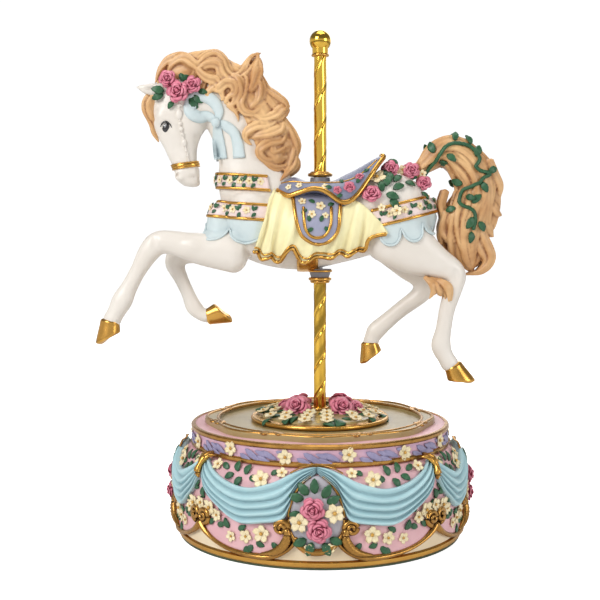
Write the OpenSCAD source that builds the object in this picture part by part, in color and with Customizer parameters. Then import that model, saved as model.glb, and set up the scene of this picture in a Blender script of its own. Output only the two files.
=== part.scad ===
/* [Plinth] */
// Outside radius of the plinth at its bulge
plinth_r = 84.5; // [80:0.5:102]
// Height of the deck's top face above the table
plinth_h = 65.5; // [60:0.5:80]
// How far the bulge stands out past the neck under the frieze
flare = 9.5; // [6:0.5:12]
// Thickness of the plinth's cast wall
wall = 5.5; // [4:0.5:7]
// Width of the ledge that the bottom board screws up to
ledge_w = 9; // [7:0.5:11]
// Height of the frieze band with its two mouldings
band_h = 12.5; // [10:0.5:16]
// Height of the cream skirt under the painted body
skirt_h = 14; // [10:0.5:17]
// Height of the gilt foot ring
foot_h = 4; // [3:0.5:6]
// Thickness of the felt under the foot
felt_t = 1; // [0.5:0.25:2]
// How far the gilt foot ring stands out past the bulge
foot_out = 1; // [0.5:0.25:2]
// How far the applied ornaments stand out from the plinth
relief_t = 2.4; // [1.6:0.2:3.2]
// Thickness of the deck plate
deck_t = 4.5; // [3:0.5:6]
// Thickness of the bottom board
board_t = 4; // [3:0.5:6]

/* [Turntable and pole] */
// Radius of the turning disc
disc_r = 41; // [32:0.5:48]
// Thickness of the turning disc
disc_t = 2.5; // [2:0.5:5]
// Radius of the turntable's shaft
shaft_r = 4; // [3:0.25:5]
// Outside radius of the brass pole
pole_r = 3.75; // [3:0.25:5]
// Radius of the steel rod inside the pole
core_r = 1.6; // [1.2:0.1:2.2]
// Height of the pole's top end above the table
pole_top = 287; // [260:1:330]
// Radius of the ball on top of the pole
finial_r = 6.4; // [5:0.2:8]
// Radius of the collars where the pole enters the horse
collar_r = 7; // [6:0.25:8.5]

/* [Horse] */
// Length of the horse from the front hoof to the tail
horse_len = 246; // [200:1:296]
// Height of the horse's middle above the table, at the pole
ride_z = 184; // [176:1:205]

/* [Movement] */
// Size of the two main gears' teeth (module)
main_module = 1; // [0.9:0.05:1.2]
// Radius of the winding arbor
arbor_r = 2.5; // [2:0.25:3]
// Radius of the pinned music cylinder
drum_r = 6.5; // [5.5:0.25:7]
// Length of the pinned music cylinder
drum_len = 20; // [16:1:24]
// Height that the pins stand out of the cylinder
pin_h = 0.5; // [0.3:0.1:0.7]
// Number of notes in the comb
notes = 18; // [12:1:22]
// Height of the spring barrel
barrel_h = 10.5; // [8:0.5:12]
// Half width of the winding key's wings
key_half_w = 12; // [9:0.5:16]
// Radial clearance of each shaft in its bearing
run_fit = 0.05; // [0.02:0.01:0.1]

/* [Hidden] */
$fn = 64;

// Plinth levels and radii
neck_r = plinth_r - flare;
foot_r = plinth_r + foot_out;
recess_r = plinth_r - wall;
ledge_r = neck_r - wall;
foot_z = felt_t;
skirt_z = foot_z + foot_h;
body_z = skirt_z + skirt_h;
band_z = plinth_h + 0.5 - band_h;
deck_z = plinth_h - deck_t;
moulding_h = 3;
moulding_out = 2.5;
frieze_out = 1.2;
repeat = 4;

// Turntable levels
field_t = 0.8;
disc_z = plinth_h + field_t + 0.25;
disc_top = disc_z + disc_t;
border_w = 7;
border_r = neck_r - 7;
border_h = 3;
scallop = 1.4;
mound_r = disc_r - 6;
mound_h = 3.5;

// Movement levels, measured up from the bottom board
bed_t = 2;
wheel_t = 2;
contrate_h = 2.1;
contrate_r = 11;
contrate_teeth = 22;
pinion_teeth = 11;
train_module = 0.8;
train_teeth = 30;
leaf_teeth = 10;
main_teeth = 30;
worm_teeth = 20;
worm_module = 0.6;
worm_r = 2.2;
worm_thread = 0.45;
worm_gap = 0.2;
addendum = 0.8;
dedendum = 1.1;
pinion_r = contrate_r * pinion_teeth / contrate_teeth;
wheel_up = bed_t + barrel_h + 1;
axis_up = wheel_up + wheel_t + contrate_h - addendum + pinion_r;
train_r = train_module * train_teeth / 2;
leaf_r = train_module * leaf_teeth / 2;
fan_h = 5.5;
fan_r = 7;
fan_up = axis_up + 7.2;
movement_h = fan_up + fan_h;
head_room = 2.5;
bed_z = deck_z - head_room - movement_h;
board_z = bed_z - board_t;
wheel_z = bed_z + wheel_up;
axis_z = bed_z + axis_up;
thin = 0.35;

// Movement places, seen from above
main_r = main_module * main_teeth / 2;
train_angle = 118;
hub = 2 * main_r * [cos(train_angle), sin(train_angle)];
pinion_x = hub[0] + contrate_r;
left_bearing_x = hub[0] + main_r + 2;
bearing_t = 2;
drum_x = left_bearing_x + bearing_t + 1.5;
train_x = drum_x + drum_len + 1.5;
right_bearing_x = train_x + wheel_t + 1.5;
arbor_end_x = right_bearing_x + bearing_t + 2;
second_y = hub[1] - train_r - leaf_r;
worm_wheel_r = worm_module * worm_teeth / 2;
worm_wheel_x = train_x - 7;
second_bearing_x = worm_wheel_x - 4.5;
governor_x = worm_wheel_x + wheel_t / 2;
governor_y = second_y - worm_wheel_r - worm_r - worm_gap;
small_r = 1.2;
staff_r = 0.8;
barrel_r = 12.5;
barrel_wall = 1;
comb_gap = 0.2;
comb_t = 1;
comb_tip_y = hub[1] + drum_r + pin_h + comb_gap;
comb_len = 12;
comb_heel = 6;
screw_r = 1.5;
screw_len = 6;
head_r = 2.8;
head_h = 1.5;

// Horse places; its own points are millimetres from its middle at the pole
k = horse_len / 246;
body_top = 22;
body_under = -26.5;
collar_h = 7;
loose = 0.3;

// Each station is [x, z, half thickness in the side view, half width]
TORSO = [[-57, 4, 11, 9], [-46, 3, 20, 15.5], [-30, 0, 24.5, 19.5], [-10, -2.5, 24.5, 21],
    [12, 0, 22.5, 19.5], [27, 5.5, 24.5, 20], [42, 6, 25, 20], [54, 5, 21, 17], [61, 4, 13, 11]];
NECK = [[-34, 14, 24, 15.5], [-40, 28, 20.5, 12.5], [-43, 41, 17, 10.5], [-49, 56, 15, 9.5],
    [-58, 70, 13, 9], [-70, 79, 11.5, 8.5]];
HEAD = [[-84, 81, 13, 8.5], [-85, 72, 16.5, 10], [-84, 62, 18, 10.5], [-83, 53, 15.5, 9.5],
    [-81, 44, 10, 7.5], [-80, 35, 7.2, 6.4], [-78.5, 29, 7.8, 6.8], [-77, 25.5, 5.5, 5]];
EAR = [[-93, 78, 4.5, 3], [-101, 80, 3.6, 2.2], [-109, 81, 1, 0.8]];
NEAR_FORE = [[-50, -16, 13, 9], [-72, -15, 9, 7.5], [-87, -11, 6.8, 6.5], [-97, -12, 6.3, 6],
    [-106, -26, 4.4, 4.4], [-113, -37, 4.3, 4.2], [-118, -44, 5.4, 5], [-123, -54, 4.6, 4.6]];
FAR_FORE = [[-50, -12, 13, 9], [-70, -15, 9, 7.5], [-84, -18, 7, 6.5], [-88, -25, 5.6, 5.5],
    [-82.5, -35, 4.4, 4.4], [-78.5, -46, 4.9, 4.6], [-76, -53, 4.6, 4.4], [-69, -56, 3.8, 4]];
NEAR_HIND = [[46, -8, 18, 10], [57, -16, 14, 9], [70, -22, 9, 7.5], [80, -27, 6.5, 6],
    [77.5, -41, 5, 4.8], [75, -53, 4.1, 4.2], [73, -65, 4.6, 4.4], [72.5, -72, 5.2, 4.8],
    [75, -80, 4.7, 4.6]];
FAR_HIND = [[46, -8, 18, 10], [57, -22, 13, 9], [65, -33, 8, 7], [62.5, -42, 5.8, 5.5],
    [50, -51.5, 4.6, 4.6], [40.5, -59.5, 4.8, 4.6], [34, -65.5, 4.9, 4.7]];
MANE = [[-92, 86, 7, 8], [-82, 91, 9, 10], [-65, 91, 12, 11.5], [-51, 81, 12, 13],
    [-39, 72, 13, 13.5], [-32, 58, 13, 14], [-28, 46, 13, 14], [-25, 36, 10, 12.5]];
LOCK = [[-48, 82, 8, 8], [-42, 93, 6, 6], [-37, 101, 2, 2]];
TAIL = [[58, 31, 5, 4], [63, 35, 7, 5], [70, 41, 9, 6.5], [77, 41.5, 10.5, 8], [84, 37, 11.5, 8.5],
    [90, 28, 13, 9], [92, 19, 14, 9], [89.5, 10, 15, 9], [87, -1, 14.5, 8.5], [88, -11, 13.5, 7.5],
    [89, -21, 10, 6], [91, -28, 4, 3]];
SEAT = [[-28, 16, 5.5, 10], [-18, 12, 13.5, 16], [-6, 11, 15.5, 21.5], [10, 13, 17, 22],
    [24, 19, 18, 20.5], [33, 27, 13, 15], [37, 36, 4.5, 7]];
leg_y = 11;
ear_y = 6.5;

// A tapering limb through the stations, on one side of the horse, fatter all round by grow
module limb(stations, y = 0, sides = 12, grow = 0) {
    last = len(stations) - 1;
    function along(i) =
        let (
            a = stations[max(i - 1, 0)],
            b = stations[min(i + 1, last)],
            d = [b[0] - a[0], b[1] - a[1]]
        )
        d / norm(d);
    function ring(i, share, out) =
        let (s = stations[i], d = along(i), r = s[2] + grow, w = s[3] + grow)
        [for (j = [0 : sides - 1])
            let (a = 360 * j / sides)
            k * [
                s[0] + d[0] * out * r - d[1] * share * r * cos(a),
                y + share * w * sin(a),
                s[1] + d[1] * out * r + d[0] * share * r * cos(a)
            ]];
    rings = concat(
        [ring(0, 0.35, -0.55), ring(0, 0.75, -0.38)],
        [for (i = [0 : last]) ring(i, 1, 0)],
        [ring(last, 0.75, 0.38), ring(last, 0.35, 0.55)]
    );
    turns = len(rings);
    points = [for (r = rings) each r];
    cap = [for (j = [0 : sides - 1]) j];
    walls = [for (i = [0 : turns - 2], j = [0 : sides - 1])
        let (a = i * sides + j, b = i * sides + (j + 1) % sides)
        each [[a, b, b + sides], [a, b + sides, a + sides]]];
    translate([0, 0, ride_z])
        polyhedron(points, concat([[for (j = [sides - 1 : -1 : 0]) j]], walls,
            [[for (j = cap) (turns - 1) * sides + j]]));
}

// Joins what it holds into one moulded surface
module moulded() resize([0, 0, 0]) children();

module at_horse(x, y, z) translate([k * x, k * y, ride_z + k * z]) children();

module both_sides() {
    children();
    mirror([0, 1, 0]) children();
}

function tooth_ring(teeth, module_size, share = thin) =
    let (
        pitch = 360 / teeth,
        r = module_size * teeth / 2,
        tip = r + addendum * module_size,
        root = r - dedendum * module_size
    )
    [for (i = [0 : teeth - 1], c = [[-0.62, root], [-0.34, tip], [0.34, tip], [0.62, root]])
        let (a = pitch * (i + c[0] * share))
        c[1] * [cos(a), sin(a)]];

module gear(teeth, module_size, thick, bore, phase = 0) {
    difference() {
        rotate(phase * 360 / teeth) linear_extrude(thick) polygon(tooth_ring(teeth, module_size));
        translate([0, 0, -1]) cylinder(r = bore, h = thick + 2);
    }
}

module along_x(x, y, z) translate([x, y, z]) rotate([0, 90, 0]) children();

module ring_between(inner, outer, z, h) {
    translate([0, 0, z]) difference() {
        cylinder(r = outer, h = h);
        translate([0, 0, -1]) cylinder(r = inner, h = h + 2);
    }
}

// The plinth's outline: a straight drum that turns in to the neck on a quarter ellipse
shoulder_h = 15;
shoulder_steps = 6;
shoulder_z = band_z - shoulder_h;
function shell_r(z) = z <= shoulder_z ? plinth_r
    : neck_r + flare * sqrt(max(0, 1 - pow((z - shoulder_z) / shoulder_h, 2)));
SHOULDER = [for (i = [0 : shoulder_steps])
    shoulder_z + shoulder_h * sin(90 * i / shoulder_steps)];
SHELL_LEVELS = concat([body_z], SHOULDER);
SKIN_LEVELS = concat([skirt_z], SHOULDER);

// The outline that its children draw, run straight through the plinth's wall
module through_wall(middle_z) {
    rotate([90, 0, 0]) translate([0, middle_z, neck_r - 25])
        linear_extrude(plinth_r - neck_r + 40) children();
}

// A skin of the plinth's outside, thick by t, cut to the outline that its children draw
module applied(t, middle_z) {
    intersection() {
        rotate_extrude() polygon(concat(
            [for (z = SKIN_LEVELS) [shell_r(z), z]],
            [for (i = [len(SKIN_LEVELS) - 1 : -1 : 0])
                let (z = SKIN_LEVELS[i]) [shell_r(z) + t, z]]));
        through_wall(middle_z) children();
    }
}

// ---- Plinth ----

module felt_ring() color("darkolivegreen") ring_between(recess_r + 1, foot_r - 1, 0, felt_t);

module foot_ring() {
    color("goldenrod") rotate_extrude() polygon([[recess_r, foot_z], [foot_r - 1, foot_z],
        [foot_r, foot_z + 1], [foot_r, foot_z + foot_h - 1], [foot_r - 1, skirt_z],
        [recess_r, skirt_z]]);
}

module cream_skirt() color("bisque") ring_between(recess_r, plinth_r, skirt_z, skirt_h);

module plinth_shell() {
    color("pink") difference() {
        rotate_extrude() polygon(concat(
            [[recess_r, body_z]],
            [for (z = SHELL_LEVELS) [shell_r(z), z]],
            [[neck_r, deck_z], [ledge_r, deck_z], [ledge_r, bed_z], [recess_r, bed_z]]));
        board_screw_places() cylinder(r = screw_r, h = board_t + screw_len);
        hollow_above_ledge();
    }
}

// The wall is thinner between the ledge and the neck
module hollow_above_ledge() {
    top = deck_z - 8;
    rotate_extrude() polygon([[0, bed_z + ledge_w], [recess_r - 2, bed_z + ledge_w],
        [recess_r - 2, shoulder_z], [ledge_r, top], [0, top]]);
}

medal_w = 14.2;
medal_top = band_z - 3;
medal_low = skirt_z + 7.5;
medal_h = (medal_top - medal_low) / 2;
medal_z = (medal_top + medal_low) / 2;
module medal_outline() polygon([for (a = [0 : 15 : 345]) [medal_w * cos(a), medal_h * sin(a)]]);

clip_z = band_z - 4.5;
module clip_outline() polygon([[-1.5, 4], [1.5, 4], [2.6, 0], [1.8, -5], [-1.8, -5], [-2.6, 0]]);

// The place of ornament i of the eight between the medallions and the clips, with both cut out of it
module bay(i) {
    half = 90 / repeat;
    rotate(half * (2 * i + 1)) difference() {
        children();
        for (side = [0, 1]) rotate(half * (2 * side - 1)) {
            if ((i + side) % 2 == 0) through_wall(medal_z) medal_outline();
            else through_wall(clip_z) clip_outline();
        }
    }
}

bay_half = plinth_r * sin(90 / repeat);
lobe_half = bay_half - 2.3;
lobe_drop = 14;
lobe_z = skirt_z + 1 + lobe_drop;
module lobe_outline() {
    polygon(concat(
        [for (a = [180 : 15 : 360]) [lobe_half * cos(a), lobe_drop * sin(a)]],
        [[lobe_half * 0.8, 2], [-lobe_half * 0.8, 2]]));
}

module scroll_lobes() {
    color("darkgoldenrod") for (i = [0 : 2 * repeat - 1])
        bay(i) applied(relief_t * 0.8, lobe_z) lobe_outline();
}

swag_half = bay_half - 2.3;
swag_drop = 28;
swag_sag = 9;
swag_z = band_z - 2;
module swag_outline() {
    polygon(concat(
        [for (a = [180 : 15 : 360]) [swag_half * cos(a), swag_drop * sin(a)]],
        [for (a = [345 : -15 : 195]) [swag_half * 0.93 * cos(a), swag_sag * sin(a)]]));
}

module drape_swags() {
    color("powderblue") for (i = [0 : 2 * repeat - 1])
        bay(i) applied(relief_t, swag_z) swag_outline();
}

module medallions() {
    color("thistle") for (i = [0 : repeat - 1])
        rotate(360 / repeat * i) applied(relief_t, medal_z) medal_outline();
}

module swag_clips() {
    color("gold") for (i = [0 : repeat - 1])
        rotate(360 / repeat * (i + 0.5)) applied(relief_t * 1.2, clip_z) clip_outline();
}

module frieze_mouldings() {
    color("gold") for (z = [band_z, band_z + band_h - moulding_h])
        rotate_extrude() polygon([[neck_r, z], [neck_r + moulding_out - 0.8, z],
            [neck_r + moulding_out, z + 0.8], [neck_r + moulding_out, z + moulding_h - 0.8],
            [neck_r + moulding_out - 0.8, z + moulding_h], [neck_r, z + moulding_h]]);
}

module frieze_band() {
    color("plum") ring_between(neck_r, neck_r + frieze_out, band_z + moulding_h,
        band_h - 2 * moulding_h);
}

module deck_plate() {
    color("lightpink") difference() {
        translate([0, 0, deck_z]) cylinder(r = neck_r, h = deck_t);
        translate([0, 0, deck_z - 1]) cylinder(r = shaft_r + 3, h = deck_t + 2);
    }
}

function scalloped(r) = [for (a = [0 : 5 : 355]) (r + scallop * cos(8 * a)) * [cos(a), sin(a)]];

module deck_border() {
    color("gold") translate([0, 0, plinth_h]) difference() {
        linear_extrude(border_h) polygon(scalloped(border_r));
        translate([0, 0, -1]) cylinder(r = border_r - border_w, h = border_h + 2);
    }
}

module deck_field() {
    color("darkkhaki") ring_between(shaft_r + 5, border_r - border_w, plinth_h, field_t);
}

module thrust_washer() {
    color("white") ring_between(shaft_r + 1, shaft_r + 5, plinth_h, disc_z - plinth_h - run_fit);
}

module board_screw_places() {
    for (i = [0 : 3]) rotate(90 * i + 20) translate([ledge_r + ledge_w / 2, 0, board_z]) children();
}

module bottom_board() {
    color("burlywood") difference() {
        translate([0, 0, board_z]) cylinder(r = recess_r, h = board_t);
        translate([hub[0], hub[1], board_z - 1]) cylinder(r = arbor_r + 2, h = board_t + 2);
        board_screw_places() translate([0, 0, -1]) cylinder(r = screw_r, h = board_t + 2);
        bed_screw_places() translate([0, 0, -board_t]) cylinder(r = screw_r, h = board_t + 1);
    }
}

module screw(length) {
    cylinder(r = screw_r, h = length);
    translate([0, 0, -head_h]) difference() {
        cylinder(r = head_r, h = head_h);
        translate([-head_r, -0.4, -0.1]) cube([2 * head_r, 0.8, 0.8]);
    }
}

module board_screws() color("silver") board_screw_places() screw(board_t + screw_len);

// ---- Movement ----

bed_min = [hub[0] - main_r - 3, governor_y - 8];
bed_max = [arbor_end_x + 2, comb_tip_y + comb_len + comb_heel + 2];
module bed_screw_places() {
    for (x = [bed_min[0] + 5, bed_max[0] - 5], y = [bed_min[1] + 5, bed_max[1] - 5])
        translate([x, y, bed_z]) children();
}

module bedplate() {
    color("slategray") difference() {
        intersection() {
            translate([bed_min[0], bed_min[1], bed_z])
                cube([bed_max[0] - bed_min[0], bed_max[1] - bed_min[1], bed_t]);
            translate([0, 0, bed_z - 1]) cylinder(r = ledge_r - 1, h = bed_t + 2);
        }
        translate([hub[0], hub[1], bed_z - 1]) cylinder(r = arbor_r + 2, h = bed_t + 2);
        translate([0, 0, bed_z - 1]) cylinder(r = shaft_r + 1.5, h = bed_t + 2);
        bed_screw_places() translate([0, 0, -1]) cylinder(r = screw_r, h = bed_t + 2);
        comb_screw_places() translate([0, 0, bed_z - 1]) cylinder(r = screw_r, h = bed_t + 2);
    }
}

comb_z = axis_z - comb_t / 2;
module comb_screw_places() {
    for (x = [drum_x + 4, drum_x + drum_len - 4])
        translate([x, comb_tip_y + comb_len + comb_heel / 2, 0]) children();
}

module movement_screws() {
    color("silver") {
        bed_screw_places() translate([0, 0, bed_t]) mirror([0, 0, 1]) screw(board_t + bed_t - 1);
        comb_screw_places() translate([0, 0, comb_z + comb_t]) mirror([0, 0, 1]) screw(screw_len);
    }
}

// Brass bushes: the shaft's foot and deck bearings, and the key arbor's bearing
module shaft_bushes() {
    color("gold") {
        ring_between(shaft_r + run_fit, shaft_r + 3, deck_z, deck_t);
        difference() {
            translate([0, 0, bed_z]) cylinder(r = shaft_r + 1.5, h = wheel_up - 1);
            translate([0, 0, bed_z + 2]) cylinder(r = shaft_r - 1.5 + run_fit, h = wheel_up);
        }
        translate([hub[0], hub[1], board_z]) difference() {
            cylinder(r = arbor_r + 2, h = board_t + bed_t);
            translate([0, 0, -1]) cylinder(r = arbor_r + run_fit, h = board_t + bed_t + 2);
        }
    }
}

module spring_barrel() {
    color("silver") translate([hub[0], hub[1], bed_z + bed_t]) difference() {
        cylinder(r = barrel_r, h = barrel_h);
        translate([0, 0, -1]) cylinder(r = arbor_r + 2, h = barrel_h + 2);
        translate([0, 0, 1]) cylinder(r = barrel_r - barrel_wall, h = barrel_h - 2);
    }
}

module mainspring() {
    turns = 5;
    step = 20;
    inner = arbor_r + 1.5;
    outer = barrel_r - barrel_wall - 0.5;
    strip = 0.35;
    function at(a, side) = (inner + (outer - inner) * a / (360 * turns) + side) * [cos(a), sin(a)];
    color("steelblue") translate([hub[0], hub[1], bed_z + bed_t + 1.5])
        linear_extrude(barrel_h - 3) polygon(concat(
            [for (a = [0 : step : 360 * turns]) at(a, 0)],
            [for (a = [360 * turns : -step : 0]) at(a, strip)]));
}

module bearing_plate(x, y, half_w, top) {
    translate([x, y - half_w, bed_z + bed_t])
        cube([bearing_t, 2 * half_w, top - bed_z - bed_t]);
}

module cylinder_brackets() {
    color("gold") difference() {
        union() {
            bearing_plate(left_bearing_x, hub[1], 4, axis_z + 4);
            bearing_plate(right_bearing_x, hub[1], 4, axis_z + 4);
        }
        along_x(left_bearing_x - 1, hub[1], axis_z)
            cylinder(r = small_r + run_fit, h = arbor_end_x - left_bearing_x + 1);
    }
}

module train_brackets() {
    arm_y = governor_y - 3;
    color("gold") difference() {
        union() {
            bearing_plate(second_bearing_x, second_y, 3, axis_z + 3);
            bearing_plate(right_bearing_x, second_y, 3, axis_z + 3);
            for (z = [axis_z - 8, axis_z + 5.2]) translate([governor_x - 3, arm_y - 3, z])
                cube([6, governor_y - arm_y + 6, 1.5]);
            translate([governor_x - 3, arm_y - 3, bed_z + bed_t])
                cube([6, 2, axis_z + 6.7 - bed_z - bed_t]);
        }
        along_x(second_bearing_x - 1, second_y, axis_z)
            cylinder(r = small_r + run_fit, h = arbor_end_x - second_bearing_x + 1);
        translate([governor_x, governor_y, bed_z + bed_t])
            cylinder(r = staff_r + run_fit, h = movement_h);
    }
}

module comb_base() {
    color("dimgray") difference() {
        translate([drum_x - 1, comb_tip_y + comb_len, bed_z + bed_t])
            cube([drum_len + 2, comb_heel, comb_z - bed_z - bed_t]);
        comb_screw_places() translate([0, 0, comb_z + comb_t - screw_len])
            cylinder(r = screw_r, h = screw_len);
    }
}

module comb() {
    pitch = drum_len / notes;
    color("lightsteelblue") difference() {
        union() {
            translate([drum_x - 1, comb_tip_y + comb_len - 1, comb_z])
                cube([drum_len + 2, comb_heel + 1, comb_t]);
            for (i = [0 : notes - 1]) translate([drum_x + pitch * (i + 0.15), comb_tip_y, comb_z])
                cube([pitch * 0.7, comb_len, comb_t]);
        }
        comb_screw_places() translate([0, 0, comb_z - 1]) cylinder(r = screw_r, h = comb_t + 2);
    }
}

module winding_key() {
    top = board_z - 1;
    low = 1.5;
    color("gold") difference() {
        union() {
            translate([hub[0], hub[1], low + (top - low) / 3])
                cylinder(r = arbor_r + 1.5, h = (top - low) * 2 / 3);
            translate([hub[0], hub[1] + 1.1, 0]) rotate([90, 0, 0]) linear_extrude(2.2)
                for (s = [-1, 1]) polygon([[s * 0.5, low + 1], [s * (key_half_w - 3), low],
                    [s * key_half_w, (low + top) / 2 - 1], [s * key_half_w * 0.8, top - 3],
                    [s * 0.5, low + (top - low) * 0.6]]);
            translate([hub[0] - 1, hub[1] - 1.1, low + 1]) cube([2, 2.2, (top - low) * 0.5]);
        }
        translate([hub[0], hub[1], low + (top - low) / 2]) cylinder(r = arbor_r, h = top);
    }
}

module winding_arbor() {
    low = 1.5 + (board_z - 2.5) / 2;
    color("silver") translate([hub[0], hub[1], low])
        cylinder(r = arbor_r, h = wheel_z + wheel_t - low);
}

module great_wheel() {
    color("gold") translate([hub[0], hub[1], wheel_z]) {
        gear(main_teeth, main_module, wheel_t, arbor_r, main_phase());
        for (i = [0 : contrate_teeth - 1]) rotate(360 / contrate_teeth * (i + 0.5))
            translate([contrate_r - 1.2, -thin * PI * contrate_r / contrate_teeth, wheel_t])
                cube([2.4, 2 * thin * PI * contrate_r / contrate_teeth, contrate_h]);
    }
}

// The great wheel shows a gap, not a tooth, to the turntable gear
function main_phase() = let (a = (train_angle + 180) * main_teeth / 360) a - floor(a) + 0.5;

module music_cylinder() {
    color("gold") along_x(drum_x, hub[1], axis_z) difference() {
        cylinder(r = drum_r, h = drum_len);
        translate([0, 0, -1]) cylinder(r = small_r, h = drum_len + 2);
    }
}

module cylinder_pins() {
    per_note = 4;
    pitch = drum_len / notes;
    color("silver") along_x(drum_x, hub[1], axis_z)
        for (n = [0 : notes - 1], i = [0 : per_note - 1])
            translate([0, 0, pitch * (n + 0.5)]) rotate(47 * n + 90 * i + 11 * (n % 3))
                translate([drum_r, 0, 0]) rotate([0, 90, 0]) cylinder(r = 0.25, h = pin_h);
}

module cylinder_arbor() {
    color("silver") along_x(pinion_x - 1.5, hub[1], axis_z)
        cylinder(r = small_r, h = arbor_end_x - pinion_x + 1.5);
}

module cylinder_pinion() {
    color("silver") along_x(pinion_x - 1, hub[1], axis_z)
        gear(pinion_teeth, 2 * pinion_r / pinion_teeth, 2, small_r);
}

module cylinder_wheel() {
    color("gold") along_x(train_x, hub[1], axis_z)
        gear(train_teeth, train_module, wheel_t, small_r);
}

// The second arbor is cut in one piece with its ten-leaf pinion
module second_arbor() {
    color("silver") {
        difference() {
            along_x(second_bearing_x - 1, second_y, axis_z)
                cylinder(r = small_r, h = arbor_end_x - second_bearing_x - 1);
            second_pinion(0);
        }
        second_pinion(0);
    }
}

module second_pinion(bore) {
    along_x(train_x - 0.5, second_y, axis_z) rotate(90)
        linear_extrude(wheel_t + 1) polygon(tooth_ring(leaf_teeth, train_module));
}

module worm_wheel() {
    color("gold") along_x(worm_wheel_x, second_y, axis_z) difference() {
        linear_extrude(wheel_t) polygon(tooth_ring(worm_teeth, worm_module, 0.25));
        translate([0, 0, -1]) cylinder(r = small_r, h = wheel_t + 2);
    }
}

// A single thread: a round section, off centre, wound up the staff by one turn for each pitch
worm_pitch = PI * worm_module;
module governor_worm() {
    threads = 5;
    half = threads * worm_pitch / 2;
    color("silver") translate([governor_x, governor_y, axis_z]) moulded() {
        translate([0, 0, -half])
            linear_extrude(2 * half, twist = -360 * threads, slices = 18 * threads)
                translate([0, worm_thread]) circle(r = worm_r, $fn = 18);
        translate([0, 0, -10]) cylinder(r = staff_r, h = 10 + movement_h - axis_up, $fn = 24);
    }
}

module governor_fan() {
    color("gainsboro") translate([governor_x, governor_y, bed_z + fan_up]) difference() {
        union() {
            cylinder(r = staff_r + 0.9, h = fan_h);
            translate([-fan_r, -0.3, 0]) cube([2 * fan_r, 0.6, fan_h]);
        }
        translate([0, 0, -1]) cylinder(r = staff_r, h = fan_h + 2);
    }
}

// ---- Turntable and pole ----

module turntable_disc() {
    color("tan") difference() {
        rotate_extrude() polygon([[0, disc_z], [disc_r - 1, disc_z], [disc_r, disc_z + 1],
            [disc_r, disc_top - 1], [disc_r - 1, disc_top], [0, disc_top]]);
        translate([0, 0, disc_z - 1]) cylinder(r = shaft_r, h = 1 + disc_t / 2);
        translate([0, 0, disc_z]) cylinder(r = core_r, h = disc_t + 1);
    }
}

module turntable_shaft() {
    color("silver") {
        difference() {
            union() {
                translate([0, 0, wheel_z]) cylinder(r = shaft_r, h = disc_z + disc_t / 2 - wheel_z);
                translate([0, 0, bed_z + 2.2]) cylinder(r = shaft_r - 1.5, h = wheel_z - bed_z - 2.2);
            }
            translate([0, 0, disc_z - 6]) cylinder(r = core_r, h = 6 + disc_t);
        }
    }
}

module turntable_gear() {
    color("gold") translate([0, 0, wheel_z])
        gear(main_teeth, main_module, wheel_t, shaft_r, train_angle * main_teeth / 360);
}

module mound_solid() {
    steps = 6;
    translate([0, 0, disc_top]) rotate_extrude() polygon(concat([[0, 0]],
        [for (i = [0 : steps]) [mound_r * cos(15 * i), mound_h * sin(15 * i)]]));
}

module flower_mound() {
    color("darkgreen") difference() {
        mound_solid();
        translate([0, 0, disc_top - 1]) cylinder(r = pole_r, h = mound_h + 2);
    }
}

// Places on the mound: x, y and radius
MOUND_ROSES = [[-13, -13, 7], [13, -14, 6.5], [12, 13, 6.5], [-13, 12, 6.5]];
module mound_roses() {
    color("palevioletred") for (r = MOUND_ROSES) difference() {
        translate([r[0], r[1], disc_top + 4]) sphere(r = r[2]);
        mound_solid();
        translate([-2 * disc_r, -2 * disc_r, disc_top - 10]) cube([4 * disc_r, 4 * disc_r, 10]);
    }
}

belly_z = ride_z + k * body_under;
saddle_z = ride_z + k * (body_top + 6);
module core_rod() {
    color("silver") translate([0, 0, disc_z - 6]) cylinder(r = core_r, h = pole_top - disc_z + 6);
}

module pole_tube(low, high) {
    translate([0, 0, low]) difference() {
        cylinder(r = pole_r, h = high - low);
        translate([0, 0, -1]) cylinder(r = core_r, h = high - low + 2);
    }
}

module lower_pole() color("gold") pole_tube(disc_top, belly_z - collar_h);

module upper_pole() color("gold") pole_tube(saddle_z, pole_top);

module collar(low, r_low, r_high) {
    translate([0, 0, low]) difference() {
        cylinder(r1 = r_low, r2 = r_high, h = collar_h);
        translate([0, 0, -1]) cylinder(r = core_r, h = collar_h + 2);
    }
}

module belly_collar() color("dimgray") collar(belly_z - collar_h, pole_r + 1, collar_r);

module saddle_collar() color("dimgray") collar(saddle_z - collar_h, collar_r, pole_r + 2);

module finial() {
    color("gold") difference() {
        union() {
            translate([0, 0, pole_top + finial_r * 0.85]) sphere(r = finial_r);
            translate([0, 0, pole_top - 2]) cylinder(r = pole_r + 1, h = 4);
        }
        translate([0, 0, pole_top - 3]) cylinder(r = pole_r, h = 3);
    }
}

// ---- Horse ----

module horse_solid() {
    limb(TORSO, sides = 18);
    limb(NECK, sides = 16);
    limb(HEAD, sides = 14);
    for (y = [-ear_y, ear_y]) limb(EAR, y = y, sides = 8);
}

module pole_way() cylinder(r = core_r + loose, h = pole_top, $fn = 24);

module collar_way() {
    translate([0, 0, belly_z - collar_h]) cylinder(r = collar_r + loose, h = collar_h, $fn = 32);
    translate([0, 0, saddle_z - collar_h]) cylinder(r = collar_r + loose, h = collar_h + 9, $fn = 32);
}

module horse_body() {
    color("ivory") moulded() difference() {
        union() horse_solid();
        pole_way();
        collar_way();
    }
}

module leg(stations, y) {
    color("ivory") moulded() difference() {
        limb(stations, y = y);
        horse_solid();
        pole_way();
    }
}

module near_foreleg() leg(NEAR_FORE, -leg_y);

module far_foreleg() leg(FAR_FORE, leg_y);

module near_hindleg() leg(NEAR_HIND, -leg_y);

module far_hindleg() leg(FAR_HIND, leg_y);

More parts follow.
